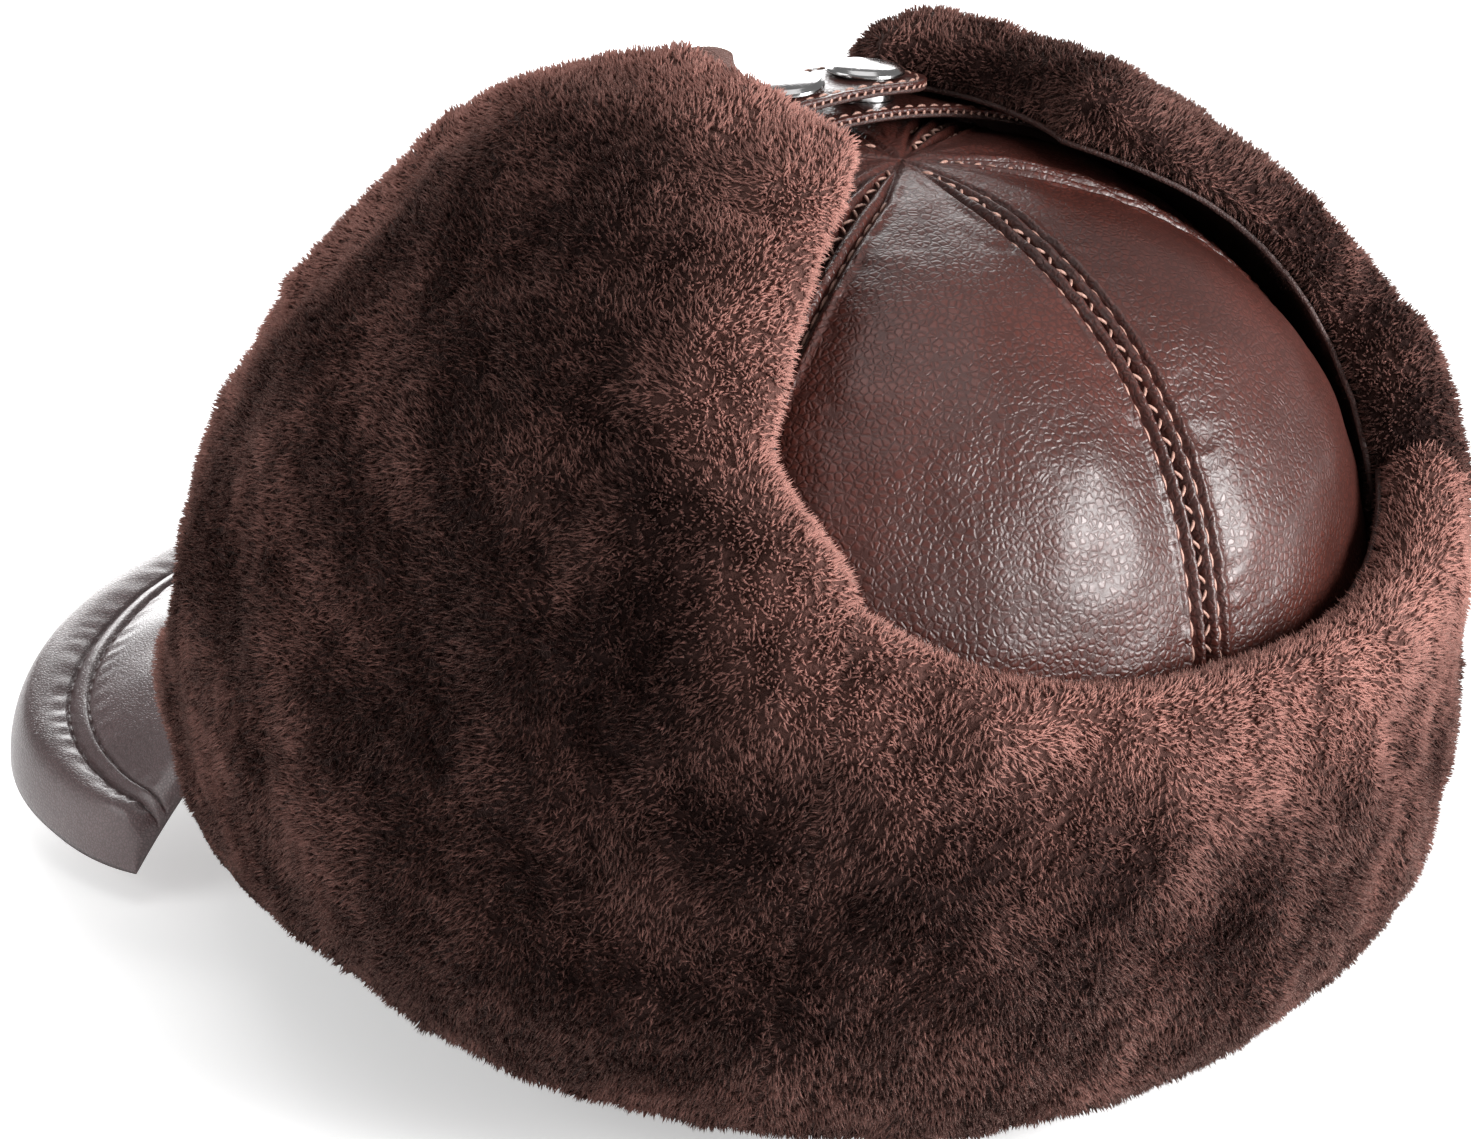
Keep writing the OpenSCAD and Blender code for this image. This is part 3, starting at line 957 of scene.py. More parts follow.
    def lining(self) -> Surface:
        """Quilt the lining over its wadding.

        Returns:
            Both as one padded wall.
        """
        angle = np.linspace(-90, 270, 289)[:-1]
        low = FORM.share_at(np.linspace(0.1, self.even_rise * FORM.height, 60))
        share = np.concatenate([low, np.linspace(low[-1], 1, 32)[1:]])
        a, t = np.meshgrid(angle, share, indexing="ij")
        rise = FORM.at(a, t, 0)[..., 2]
        round_it = np.radians(a) * FORM.half_l
        lines = [np.abs(np.sin(run * math.pi / self.quilt_pitch)) for run in (round_it + rise, round_it - rise)]
        quilt = self.quilt_h * np.minimum(lines[0] * lines[1], 0.45) ** 0.5
        inner_o = -(self.leather_t + self.padding_t + self.lining_t) - quilt + 0.9
        outer_o = np.full_like(a, -self.leather_t - 2.4)
        return shell(FORM.at(a, t, outer_o), FORM.at(a, t, inner_o), ring=True, pole=True)

    def sweatband(self) -> Surface:
        """Shape the leather sweatband, with its rolled foot under the crown's layers.

        Returns:
            The band's wall and its foot.
        """
        angle = np.linspace(-90, 270, 241)[:-1]
        outer_o = -(self.leather_t + self.padding_t + self.lining_t) - self.band_clear
        foot, top = np.linspace(0.1, 3, 8), np.linspace(4, self.band_h - 1, 26)
        z = np.concatenate([foot, top, [self.band_h - 0.3, self.band_h]])
        a, height = np.meshgrid(angle, z, indexing="ij")
        edge = rounded(self.band_h + 0.1 - height, 1.4)
        soft = 0.35 * SoftNoise(30, 11)(np.stack([a, height, a * 0], -1))
        thick = self.band_t * mix(0.25, 1, edge) + soft * edge
        stitched = -0.5 * hill(height - self.band_h + self.band_row, 0.8)
        wall = shell(
            FORM.at(a, FORM.share_at(height, outer_o), outer_o),
            FORM.at(a, FORM.share_at(height, outer_o), outer_o - thick - stitched),
            ring=True,
        )
        across = np.linspace(0, 1, 8)
        a, w = np.meshgrid(angle, across, indexing="ij")
        foot_o = mix(outer_o - self.band_t, -0.9, w)
        bulge = 0.4 * np.sin(w * math.pi) ** 0.5
        low = FORM.at(a, np.zeros_like(a), foot_o) + upright(-0.1 - bulge)
        high = FORM.at(a, np.zeros_like(a), foot_o) + upright(np.full_like(a, 0.35))
        return Surface.joined([wall, shell(low, high, ring=True)])

    def band_stitches(self) -> Surface:
        """Sew the row of stitches along the sweatband's top.

        Returns:
            The stitches, with their tops towards the wearer's head.
        """
        angle = np.linspace(-90, 270, 720)
        outer_o = -(self.leather_t + self.padding_t + self.lining_t) - self.band_clear - self.band_t
        height = np.full_like(angle, self.band_h - self.band_row)
        line = FORM.at(angle, FORM.share_at(height, outer_o), outer_o + 0.35)
        middles, along = walk(line, self.band_pitch)
        return Stitch(3.2, 0.6, 0.5).sewn(middles, along, -FORM.up(middles))

    def build(self) -> None:
        """Build the crown's pieces and hang them on the root."""
        for name, seam in self.panels.items():
            piece = build_piece(f"leather_{name}", self.panel(seam), CROWN_LEATHER)
            settle(piece, "root", [f"crown_panel_{name}"])
        seams = Surface.joined(self.seam_stitches(seam) for seam in self.panels.values())
        settle(build_piece("seam_stitches", seams, CROWN_THREAD), "root", ["crown_stitching"])
        lining = build_piece("quilted_lining", self.lining(), SATIN)
        settle(lining, "root", ["crown_padding", "crown_lining"])
        band = build_piece("sweatband_leather", self.sweatband(), BACKING_LEATHER)
        settle(band, "root", ["sweatband"])
        settle(build_piece("sweatband_stitches", self.band_stitches(), LINING_THREAD), "root")


# ---- The visor ------------------------------------------------------------------------


@dataclass
class Visor:
    """A stiff padded visor with a roll along its rim and two thread rows inside the roll."""

    half_w: float = 94
    reach: float = 66
    droop: float = 15
    droop_power: float = 2.2
    span: float = 42
    root_mid_z: float = 11
    root_end_z: float = 3.5
    rim_mid_z: float = -13
    rim_turn: float = 109
    power: float = 2.35
    bow: float = 2.5
    roll_w: float = 15
    row_gap: float = 5
    leather_t: float = 1.2
    board_t: float = 2
    pad_t: float = 1
    roll_t: float = 4.5
    round_from: float = 0.93
    gap: float = 0.2
    rim_run: float = 240
    end_r: float = 9
    stitch_pitch: float = 3.6
    pucker_pitch: float = 5.2

    def __post_init__(self) -> None:
        """Work out where the rows and the rim lie."""
        self.length = self.reach + 8
        self.mid_y = -(FORM.half_l + 2)
        self.outer_row = 1 - self.roll_w / self.length
        self.inner_row = self.outer_row - self.row_gap / self.length

    def base(self, u: Array, v: Array) -> Array:
        """Shape the underside.

        Args:
            u: shares of the way from the left end to the right.
            v: shares of the way from the crown to the rim.

        Returns:
            The underside's points.
        """
        w = 1 - 2 * u
        z = mix(self.root_mid_z, self.root_end_z, w**2)
        root = FORM.at(-90 + self.span * w, FORM.share_at(z, self.gap), self.gap)
        turn = np.radians(self.rim_turn * w)
        x = self.half_w * signed_power(np.sin(turn), 2 / self.power)
        y = self.mid_y - (self.reach - 2) * signed_power(np.cos(turn), 2 / self.power)
        rim = np.stack([x, y, self.rim_mid_z - self.droop * np.abs(x / self.half_w) ** self.droop_power], -1)
        lift = self.bow * 4 * v * (1 - v)
        return mix(root, rim, v[..., None]) + upright(lift)

    def rim_round(self, v: Array) -> Array:
        """Return the share of the visor's thickness that is left towards its rim."""
        f = clip((v - self.round_from) / (1 - self.round_from))
        return mix(0.12, 1, np.sqrt(1 - f * f))

    def end_round(self, u: Array) -> Array:
        """Return the share of the visor's thickness that is left towards its two ends."""
        return mix(0.2, 1, rounded(np.minimum(u, 1 - u) * self.rim_run, self.end_r))

    def sole(self, u: Array, v: Array) -> Array:
        """Return how thick the underside's leather is."""
        return 1.1 * self.leather_t * self.rim_round(v) * self.end_round(u)

    def top(self, u: Array, v: Array) -> Array:
        """Puff the top leather up between its rows, with a roll along the rim.

        Args:
            u: shares of the way from the left end to the right.
            v: shares of the way from the crown to the rim.

        Returns:
            How far the top leather stands over the underside.
        """
        to_inner = (v - self.inner_row) * self.length
        to_outer = (v - self.outer_row) * self.length
        roll = clip(np.sin(np.radians(112 * clip((v - self.outer_row) / (1 - self.outer_row)))))
        field_puff = 0.9 * np.sin(math.pi * clip(v / self.inner_row)) ** 0.7
        between = 0.75 * np.sin(math.pi * clip((v - self.inner_row) / (self.outer_row - self.inner_row))) ** 0.8
        rows = -0.75 * (hill(to_inner, 0.75) + hill(to_outer, 0.75))
        run = u * self.rim_run
        points = np.stack([run, v * self.length, np.zeros_like(u)], -1)
        fan = SoftNoise(22, 21)(points)
        near = hill(to_outer - 2.2, 2.6) + hill(to_inner + 2.2, 2.2)
        puckers = 0.17 * np.cos(run * 2 * math.pi / self.pucker_pitch + 2 * fan) * near
        soft = 0.35 * SoftNoise(34, 22)(points) * np.sin(math.pi * clip(v)) ** 0.5
        pad = self.pad_t + self.roll_t * roll + field_puff + between + rows + puckers + soft
        return (2 * self.leather_t + self.board_t + pad) * self.rim_round(v) * self.end_round(u)

    def grid(self) -> tuple[Array, Array]:
        """Lay out the grid that the visor's layers share, finest at the rows, the roll and the ends.

        Returns:
            The grid's u and v.
        """
        panel = np.linspace(0, self.inner_row - 0.05, 22)
        rows = np.linspace(self.inner_row - 0.04, self.outer_row + 0.06, 34)
        roll = mix(self.outer_row + 0.065, 1, np.sin(np.linspace(0, math.pi / 2, 26)))
        u = mix(np.linspace(0, 1, 241), even_steps(0, 1, 241), 0.5)
        return np.meshgrid(u, np.concatenate([panel, rows, roll]), indexing="ij")

    def layer(self, low: Height, high: Height) -> Surface:
        """Fill the room between two heights over the underside.

        Args:
            low: the lower height, from u and v.
            high: the upper height, from u and v.

        Returns:
            The layer.
        """
        u, v = self.grid()
        base = self.base(u, v)
        upper, lower = (base + upright(height(u, v)) for height in (high, low))
        return shell(upper[:, ::-1], lower[:, ::-1])

    def stitches(self) -> Surface:
        """Sew the two thread rows.

        Returns:
            The stitches of both.
        """
        rows = []
        u = np.linspace(0.03, 0.97, 800)
        for k, row in enumerate((self.inner_row, self.outer_row)):
            v = np.full_like(u, row)
            line = self.base(u, v) + upright(self.top(u, v) + 0.12)
            middles, along = walk(line, self.stitch_pitch, k * self.stitch_pitch / 2)
            up = np.tile([0.0, 0.0, 1.0], (len(middles), 1))
            rows.append(Stitch(2.7, 0.7, 0.5).sewn(middles, along, up))
        return Surface.joined(rows)

    def build(self) -> None:
        """Build the visor's pieces and hang them on the root."""
        cover = build_piece("visor_cover", self.layer(lambda u, v: self.sole(u, v) + 0.02, self.top), VISOR_LEATHER)
        settle(cover, "root", ["visor_top_leather", "visor_padding", "visor_board"])
        sole = build_piece("visor_underside", self.layer(lambda u, v: u * 0, self.sole), BACKING_LEATHER)
        settle(sole, "root", ["visor_bottom_leather"])
        rows = build_piece("visor_stitches", self.stitches(), VISOR_THREAD)
        settle(rows, "root", ["visor_stitching"])


# ---- The fur wrap ---------------------------------------------------------------------


@dataclass
class FurWrap:
    """Two ear flaps and a neck band of sheared fur on leather, folded up round the crown."""

    reach: float = 19
    top_reach: float = 18.5
    backing_t: float = 1
    edge_t: float = 5
    edge_r: float = 12
    fold_r: float = 30
    gap: float = 0.8
    split_a: float = 47
    front_a: float = 44
    flap_top: float = 0.865
    neck_mid: float = 0.285
    neck_end: float = 0.36
    notch_top: float = 0.5
    shoulder: float = 0.75
    rear_notch_a: float = 35.5
    rear_shoulder_a: float = 33
    rear_tip_a: float = 24
    front_tip_a: float = 44
    front_mid_a: float = 47
    share_mm: float = 150
    lifts: dict = field(default_factory=lambda: {Side.LEFT: 9.4, Side.RIGHT: 5.1})
    front_trim: float = 2.2
    front_fold_r: float = 34
    far_spread: float = 14
    far_rise: float = 4.5
    sag: float = 11
    low_trim: float = 2.4
    strap_clear_x: float = 31
    near_rise: float = 3.0
    far_drop: float = 2.5
    # The least share of the painted highlight left on the far flap towards its top: painted shade.
    far_flap_shaded_highlight: float = 0.12
    blend_from: float = -2
    blend_to: float = 26
    pile_l: float = 2.5
    pile_w: float = 0.68
    pile_sink: float = 1.3
    tufts_per_mm2: float = 2.3
    tufts_per_piece: int = 48000
    inner_fur: float = 16
    # Width of the painted highlight along the free edges of the pile, in millimetres.
    painted_highlight_width: float = 30
    # The core's tip share and tone: close to the root colour, painted shade deep in the pile.
    core_paint: tuple = (0.22, 0.35)
    strap_clear_y: float = 10.5
    strap_clear_z: float = 138
    foot_z: float = 0.3
    split_gap: float = 0.05

    def rear_edge(self, t: Array) -> Array:
        """Draw an ear flap's rear edge.

        Args:
            t: shares of the rise.

        Returns:
            The edge's angles.
        """
        over_neck = smooth((t - self.neck_end) / (self.notch_top - self.neck_end))
        over_notch = smooth((t - self.notch_top) / (self.shoulder - self.notch_top))
        notch = mix(self.split_a, self.rear_notch_a, over_neck)
        side = mix(notch, self.rear_shoulder_a, over_notch)
        tip = clip((t - self.shoulder) / (self.flap_top - self.shoulder))
        return mix(self.rear_tip_a, side, np.sqrt(1 - tip * tip * 0.98))

    def front_edge(self, t: Array) -> Array:
        """Draw an ear flap's front edge.

        Args:
            t: shares of the rise.

        Returns:
            The edge's angles.
        """
        side = mix(self.front_a, self.front_mid_a, np.sin(math.pi * clip(t / self.flap_top)))
        tip = clip((t - self.shoulder) / (self.flap_top - self.shoulder))
        return -mix(self.front_tip_a, side, np.sqrt(1 - tip * tip * 0.98))

    def neck_edge(self, a: Array) -> Array:
        """Return the share of the rise at the neck band's top."""
        return mix(self.neck_mid, self.neck_end, (np.abs(a - 90) / (90 - self.split_a)) ** 3)

    def inside(self, t: Array, lift: float) -> Array:
        """Return how far the wrap's backing stands off the crown."""
        return mix(self.gap, lift, smooth((t - 0.12) / 0.6))

    def outside(self, a: Array, t: Array, lift: float, s: Array) -> Array:
        """Shape the outside of the pile, from the fold at the rim to the rolled free edge.

        Args:
            a: angles round the rim.
            t: shares of the rise.
            lift: how far the backing stands off at the top.
            s: millimetres from a free edge.

        Returns:
            How far the tips of the pile stand off the crown.
        """
        base = self.inside(t, lift) + self.backing_t
        ahead = smooth((28 - a) / 62)
        reach = mix(self.reach, self.top_reach, smooth(t / self.shoulder))
        reach = reach - self.front_trim * ahead * smooth((0.7 - t) / 0.3)
        reach = reach - self.low_trim * (1 - ahead) * smooth((0.36 - t) / 0.2)
        full = mix(self.edge_t, np.maximum(reach - base, self.edge_t + 4), rounded(s, self.edge_r))
        z = FORM.at(0, t, self.reach)[..., 2]
        fold_r = self.fold_r + self.front_fold_r * ahead * (1 - smooth((-10 - a) / 26))
        bend = np.sin(math.pi / 2 * clip((z + 1) / fold_r))
        return base + mix(self.edge_t * mix(0.5, 0.25, ahead), full, bend)

    def flap_margin(self, a: Array, t: Array) -> Array:
        """Measure how far in from an ear flap's free edge a place is.

        Args:
            a: angles round the rim.
            t: shares of the rise.

        Returns:
            Millimetres from the free edge.
        """
        top = (self.flap_top - t) * self.share_mm
        ahead = FORM.across(a - self.front_edge(t), t)
        behind = FORM.across(self.rear_edge(t) - a, t)
        below = np.maximum(0, self.neck_end - t) * self.share_mm
        return np.maximum(0, np.minimum(np.minimum(top, ahead), np.hypot(behind, below)))

    def undulation(self, points: Array) -> Array:
        """Return the soft lumps of the pelt, in millimetres."""
        large, middling, small = (SoftNoise(size, seed)(points) for size, seed in ((46, 31), (19, 32), (7.5, 33)))
        return 0.8 * large + 0.55 * middling + 0.28 * small

    def hung(self, points: Array, a: Array) -> Array:
        """Return points with the flap's lower front corner hanging below the rim."""
        drop = self.sag * smooth((4 - a) / 44) * (1 - clip(points[..., 2] / 34)) ** 2
        return points - upright(drop)

    def core(self, a: Array, t: Array, lift: float, margin: Array, flip: float) -> tuple[Surface, Array]:
        """Return the fleece under its tufts, and each point's distance from a free edge.

        Args:
            a: angles of the grid's points.
            t: shares of the rise of the grid's points.
            lift: how far the backing stands off at the top.
            margin: distance of each point from a free edge.
            flip: 1 for a piece where it was drawn, -1 for its mirror image.

        Returns:
            The closed core, and the margins in the order of its points.
        """
        base = self.inside(t, lift) + self.backing_t
        outer_o = self.outside(a, t, lift, margin) - self.pile_l + self.pile_sink
        if flip < 0:
            outer_o = outer_o - self.far_drop * smooth((t - 0.4) / 0.2) + self.far_rise * smooth((t - 0.74) / 0.1)
        else:
            outer_o = outer_o + self.near_rise * smooth((t - 0.45) / 0.2) * smooth((24 - a) / 30)
        tuck = 1.6 * (1 - rounded(margin, 5))
        way = np.array([flip, 1, 1])
        lumps = self.undulation(FORM.at(a, t, outer_o) * way) * smooth(margin / 9 + 0.25)
        outer = self.hung(FORM.at(a, t, np.maximum(outer_o + lumps, base + 1.2 + tuck)), a) * way
        inner = self.hung(FORM.at(a, t, base + 0.25 + tuck), a) * way
        if flip < 0:
            outer, inner = outer[::-1], inner[::-1]
            margin = margin[::-1]
        made = shell(outer, inner)
        return made, np.concatenate([margin.ravel(), margin.ravel()])

    def tufts(self, core: Surface, margin: Array, seed: int, bare: Array) -> Surface:
        """Return the pile: small closed spikes all over the core.

        Args:
            core: the fleece under the tufts.
            margin: each core point's distance from a free edge.
            seed: the seed of the random draws.
            bare: the core triangles that have no pile.

        Returns:
            The tufts, painted with how near the tip a point is, the tuft's own shade and the painted highlight along
            the free edges.
        """
        rng = np.random.default_rng(seed)
        corners = core.points[core.triangles]
        cross = np.cross(corners[:, 1] - corners[:, 0], corners[:, 2] - corners[:, 0])
        size = np.linalg.norm(cross, axis=1) / 2
        size[bare] = 0
        count = int(size.sum() * self.tufts_per_mm2)
        picks = rng.choice(len(size), count, p=size / size.sum())
        f = rng.random((count, 2))
        f[f.sum(1) > 1] = 1 - f[f.sum(1) > 1]
        tri = corners[picks]
        root = tri[:, 0] + f[:, :1] * (tri[:, 1] - tri[:, 0]) + f[:, 1:] * (tri[:, 2] - tri[:, 0])
        point_normal = np.zeros_like(core.points)
        for k in range(3):
            np.add.at(point_normal, core.triangles[:, k], cross)
        weights = np.stack([1 - f.sum(1), f[:, 0], f[:, 1]], 1)
        normal = unit((point_normal[core.triangles[picks]] * weights[..., None]).sum(1))
        edge = (margin[core.triangles[picks]] * weights).sum(1)
        comb = np.stack([SoftNoise(26, 41 + k)(root) for k in range(3)], 1) * 0.30
        comb = comb + rng.normal(0, 0.24, (count, 3))
        way = unit(normal + comb + np.array([0, 0, -0.10]))
        along = unit(np.cross(way, rng.normal(size=(count, 3))))
        side = np.cross(way, along)
        length = self.pile_l * rng.uniform(0.78, 1.12, count) * (1 + 0.10 * SoftNoise(6, 51)(root))
        length *= mix(0.45, 1, smooth((root[:, 2] + 6) / 10))
        width = self.pile_w * rng.uniform(0.7, 1.25, count)
        foot = root - way * 0.6
        tip = root + way * (length - 0.6)[:, None]
        beside = (tip[:, 0] < 0) | (tip[:, 0] > self.strap_clear_x) | (np.abs(tip[:, 1]) > self.strap_clear_y)
        clear = beside | (tip[:, 2] < self.strap_clear_z)
        root, way, along, side, foot, tip = (v[clear] for v in (root, way, along, side, foot, tip))
        width, edge, count = width[clear], edge[clear], int(clear.sum())
        turns = np.radians([0, 120, 240])
        ring = [foot + (math.cos(k) * along + math.sin(k) * side) * width[:, None] / 2 for k in turns]
        points = np.stack([*ring, tip], 1)
        faces = np.array([[0, 1, 3], [1, 2, 3], [2, 0, 3], [0, 2, 1]])
        triangles = (faces[None] + 4 * np.arange(count)[:, None, None]).reshape(-1, 3)
        paint = np.ones((count, 4, 4))
        # The feet take mostly the root colour, painted shade deep in the pile.
        paint[:, :, 0] = np.array([0.15, 0.15, 0.15, 1.0])
        paint[:, :, 1] = rng.random(count)[:, None]
        # The painted highlight, strongest at a free edge.
        paint[:, :, 2] = (1 - smooth(edge / self.painted_highlight_width))[:, None]
        return Surface(points.reshape(-1, 3), triangles, paint.reshape(-1, 4))

    def hang(self, piece: bpy.types.Object, body: str, node: str) -> None:
        """Bake a piece's place into its points, hide the CAD node it stands for and log it.

        Args:
            piece: the finished piece.
            body: the body that it belongs to, which is only named in the log.
            node: the CAD node it stands for.
        """
        low, high = (FORM.stand(np.array([0.0, 0.0, z])) for z in (self.blend_from, self.blend_to))
        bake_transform(piece)
        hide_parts(node)
        report(piece, body)

    def painted_highlight_share(self, points: Array, least: float) -> Array:
        """Return the share of the painted highlight that is kept, falling to least towards the crown's top, where
        the far flap is painted as in shade.
        """
        return mix(1.0, least, smooth((points[:, 2] - 45) / 50))

    def fur_piece(self, name: str, core: Surface, margin: Array, seed: int) -> None:
        """Build the fur of one part of the wrap: its fleece and the pile on it.

        Args:
            name: the part and its body.
            core: the fleece under the tufts.
            margin: each core point's distance from a free edge.
            seed: the seed of the pile's random draws.
        """
        core.paint = np.zeros((len(core.points), 4))
        # Close to the root colour: painted shade deep in the pile.
        core.paint[:, :2] = self.core_paint
        least = self.far_flap_shaded_highlight if "right" in name else 1.0
        # The painted highlight along the free edges, dimmed on the far flap towards the top as painted shade.
        core.paint[:, 2] = self.painted_highlight_share(core.points, least) * (1 - smooth(margin / self.painted_highlight_width))
        piece = build_piece(f"{name}_fleece", core, FLEECE)
        self.hang(piece, name, f"{name}_fur")
        on_inside = (core.triangles < len(core.points) // 2).all(1)
        bare = on_inside & (margin[core.triangles].min(1) > self.inner_fur)
        pile = self.tufts(core, margin, seed, bare)
        # The far flap's painted highlight on the tufts is dimmed towards the top as painted shade.
        pile.paint[:, 2] *= self.painted_highlight_share(pile.points, least)
        count = len(pile.points) // 4
        parts = max(1, math.ceil(count / self.tufts_per_piece))
        order = np.argsort(pile.points.reshape(-1, 4, 3)[:, 3, 2], kind="stable")
        for k, chosen in enumerate(np.array_split(order, parts)):
            points = pile.points.reshape(-1, 4, 3)[chosen].reshape(-1, 3)
            paint = pile.paint.reshape(-1, 4, 4)[chosen].reshape(-1, 4)
            triangles = pile.triangles[: 4 * len(chosen)]
            tufts = build_piece(f"{name}_pile_{k + 1}", Surface(points, triangles, paint), FLEECE)
            self.hang(tufts, name, f"{name}_fur")

    def backing(self, name: str, a: Array, t: Array, lift: float, flip: float) -> None:
        """Build the leather backing of one part of the wrap, as a sheet stretched over its fold.

        Args:
            name: the part and its body.
            a: angles of the grid's points.
            t: shares of the rise of the grid's points.
            lift: how far the backing stands off at the top.
            flip: 1 where it was drawn, -1 for its mirror image.
        """
        way = np.array([flip, 1, 1])
        inner_o = self.inside(t, lift)
        outer = FORM.at(a, t, inner_o + self.backing_t) * way
        inner = FORM.at(a, t, inner_o + 0.1) * way
        if flip < 0:
            outer, inner = outer[::-1], inner[::-1]
        made = shell(outer, inner)
        piece = build_piece(f"{name}_backing_leather", made, BACKING_LEATHER)
        self.hang(piece, name, f"{name}_backing")
        area = made.area() / 2 * MM * MM

    def flap(self, side: Side) -> None:
        """Build one ear flap.

        Args:
            side: the wearer's side that it hangs on.
        """
        lift = self.lifts[side]
        spread = self.far_spread if side is Side.RIGHT else 0.0
        name = f"{side.name.lower()}_flap"
        rows = 120
        v = even_steps(0.06, 1, rows)
        v = (v - v[0]) / (v[-1] - v[0])
        share = mix(FORM.share_at(self.foot_z), self.flap_top, v**1.25)
        u = even_steps(0, 1, 130)
        uu, t = np.meshgrid(u, share, indexing="ij")
        front = self.front_edge(t) - spread * smooth((t - 0.55) / 0.25)
        a = mix(front, self.rear_edge(t) - self.split_gap, uu)
        from_edge = self.flap_margin(mix(self.front_edge(t), self.rear_edge(t), uu), t)
        margin = np.minimum(from_edge, FORM.across(a - front, t))
        core, edge = self.core(a, t, lift, margin, side.value)
        self.fur_piece(name, core, edge, 60 + side.value)
        self.backing(name, a[::4, ::4], t[::4, ::4], lift, side.value)

    def neck_band(self) -> None:
        """Build the neck band."""
        lift = self.lifts[Side.LEFT]
        a = np.linspace(self.split_a + self.split_gap, 180 - self.split_a - self.split_gap, 150)
        v = even_steps(0, 1, 56)
        aa, vv = np.meshgrid(a, v**1.25, indexing="ij")
        t = mix(FORM.share_at(self.foot_z), self.neck_edge(aa), vv)
        margin = (self.neck_edge(aa) - t) * self.share_mm
        core, edge = self.core(aa, t, lift, margin, 1)
        self.fur_piece("neck_band", core, edge, 71)
        self.backing("neck_band", aa[::4, ::4], t[::4, ::4], lift, 1)

    def build(self) -> None:
        """Build both flaps and the neck band."""
        self.flap(Side.LEFT)
        self.flap(Side.RIGHT)
        self.neck_band()


# ---- The straps and the snaps ---------------------------------------------------------


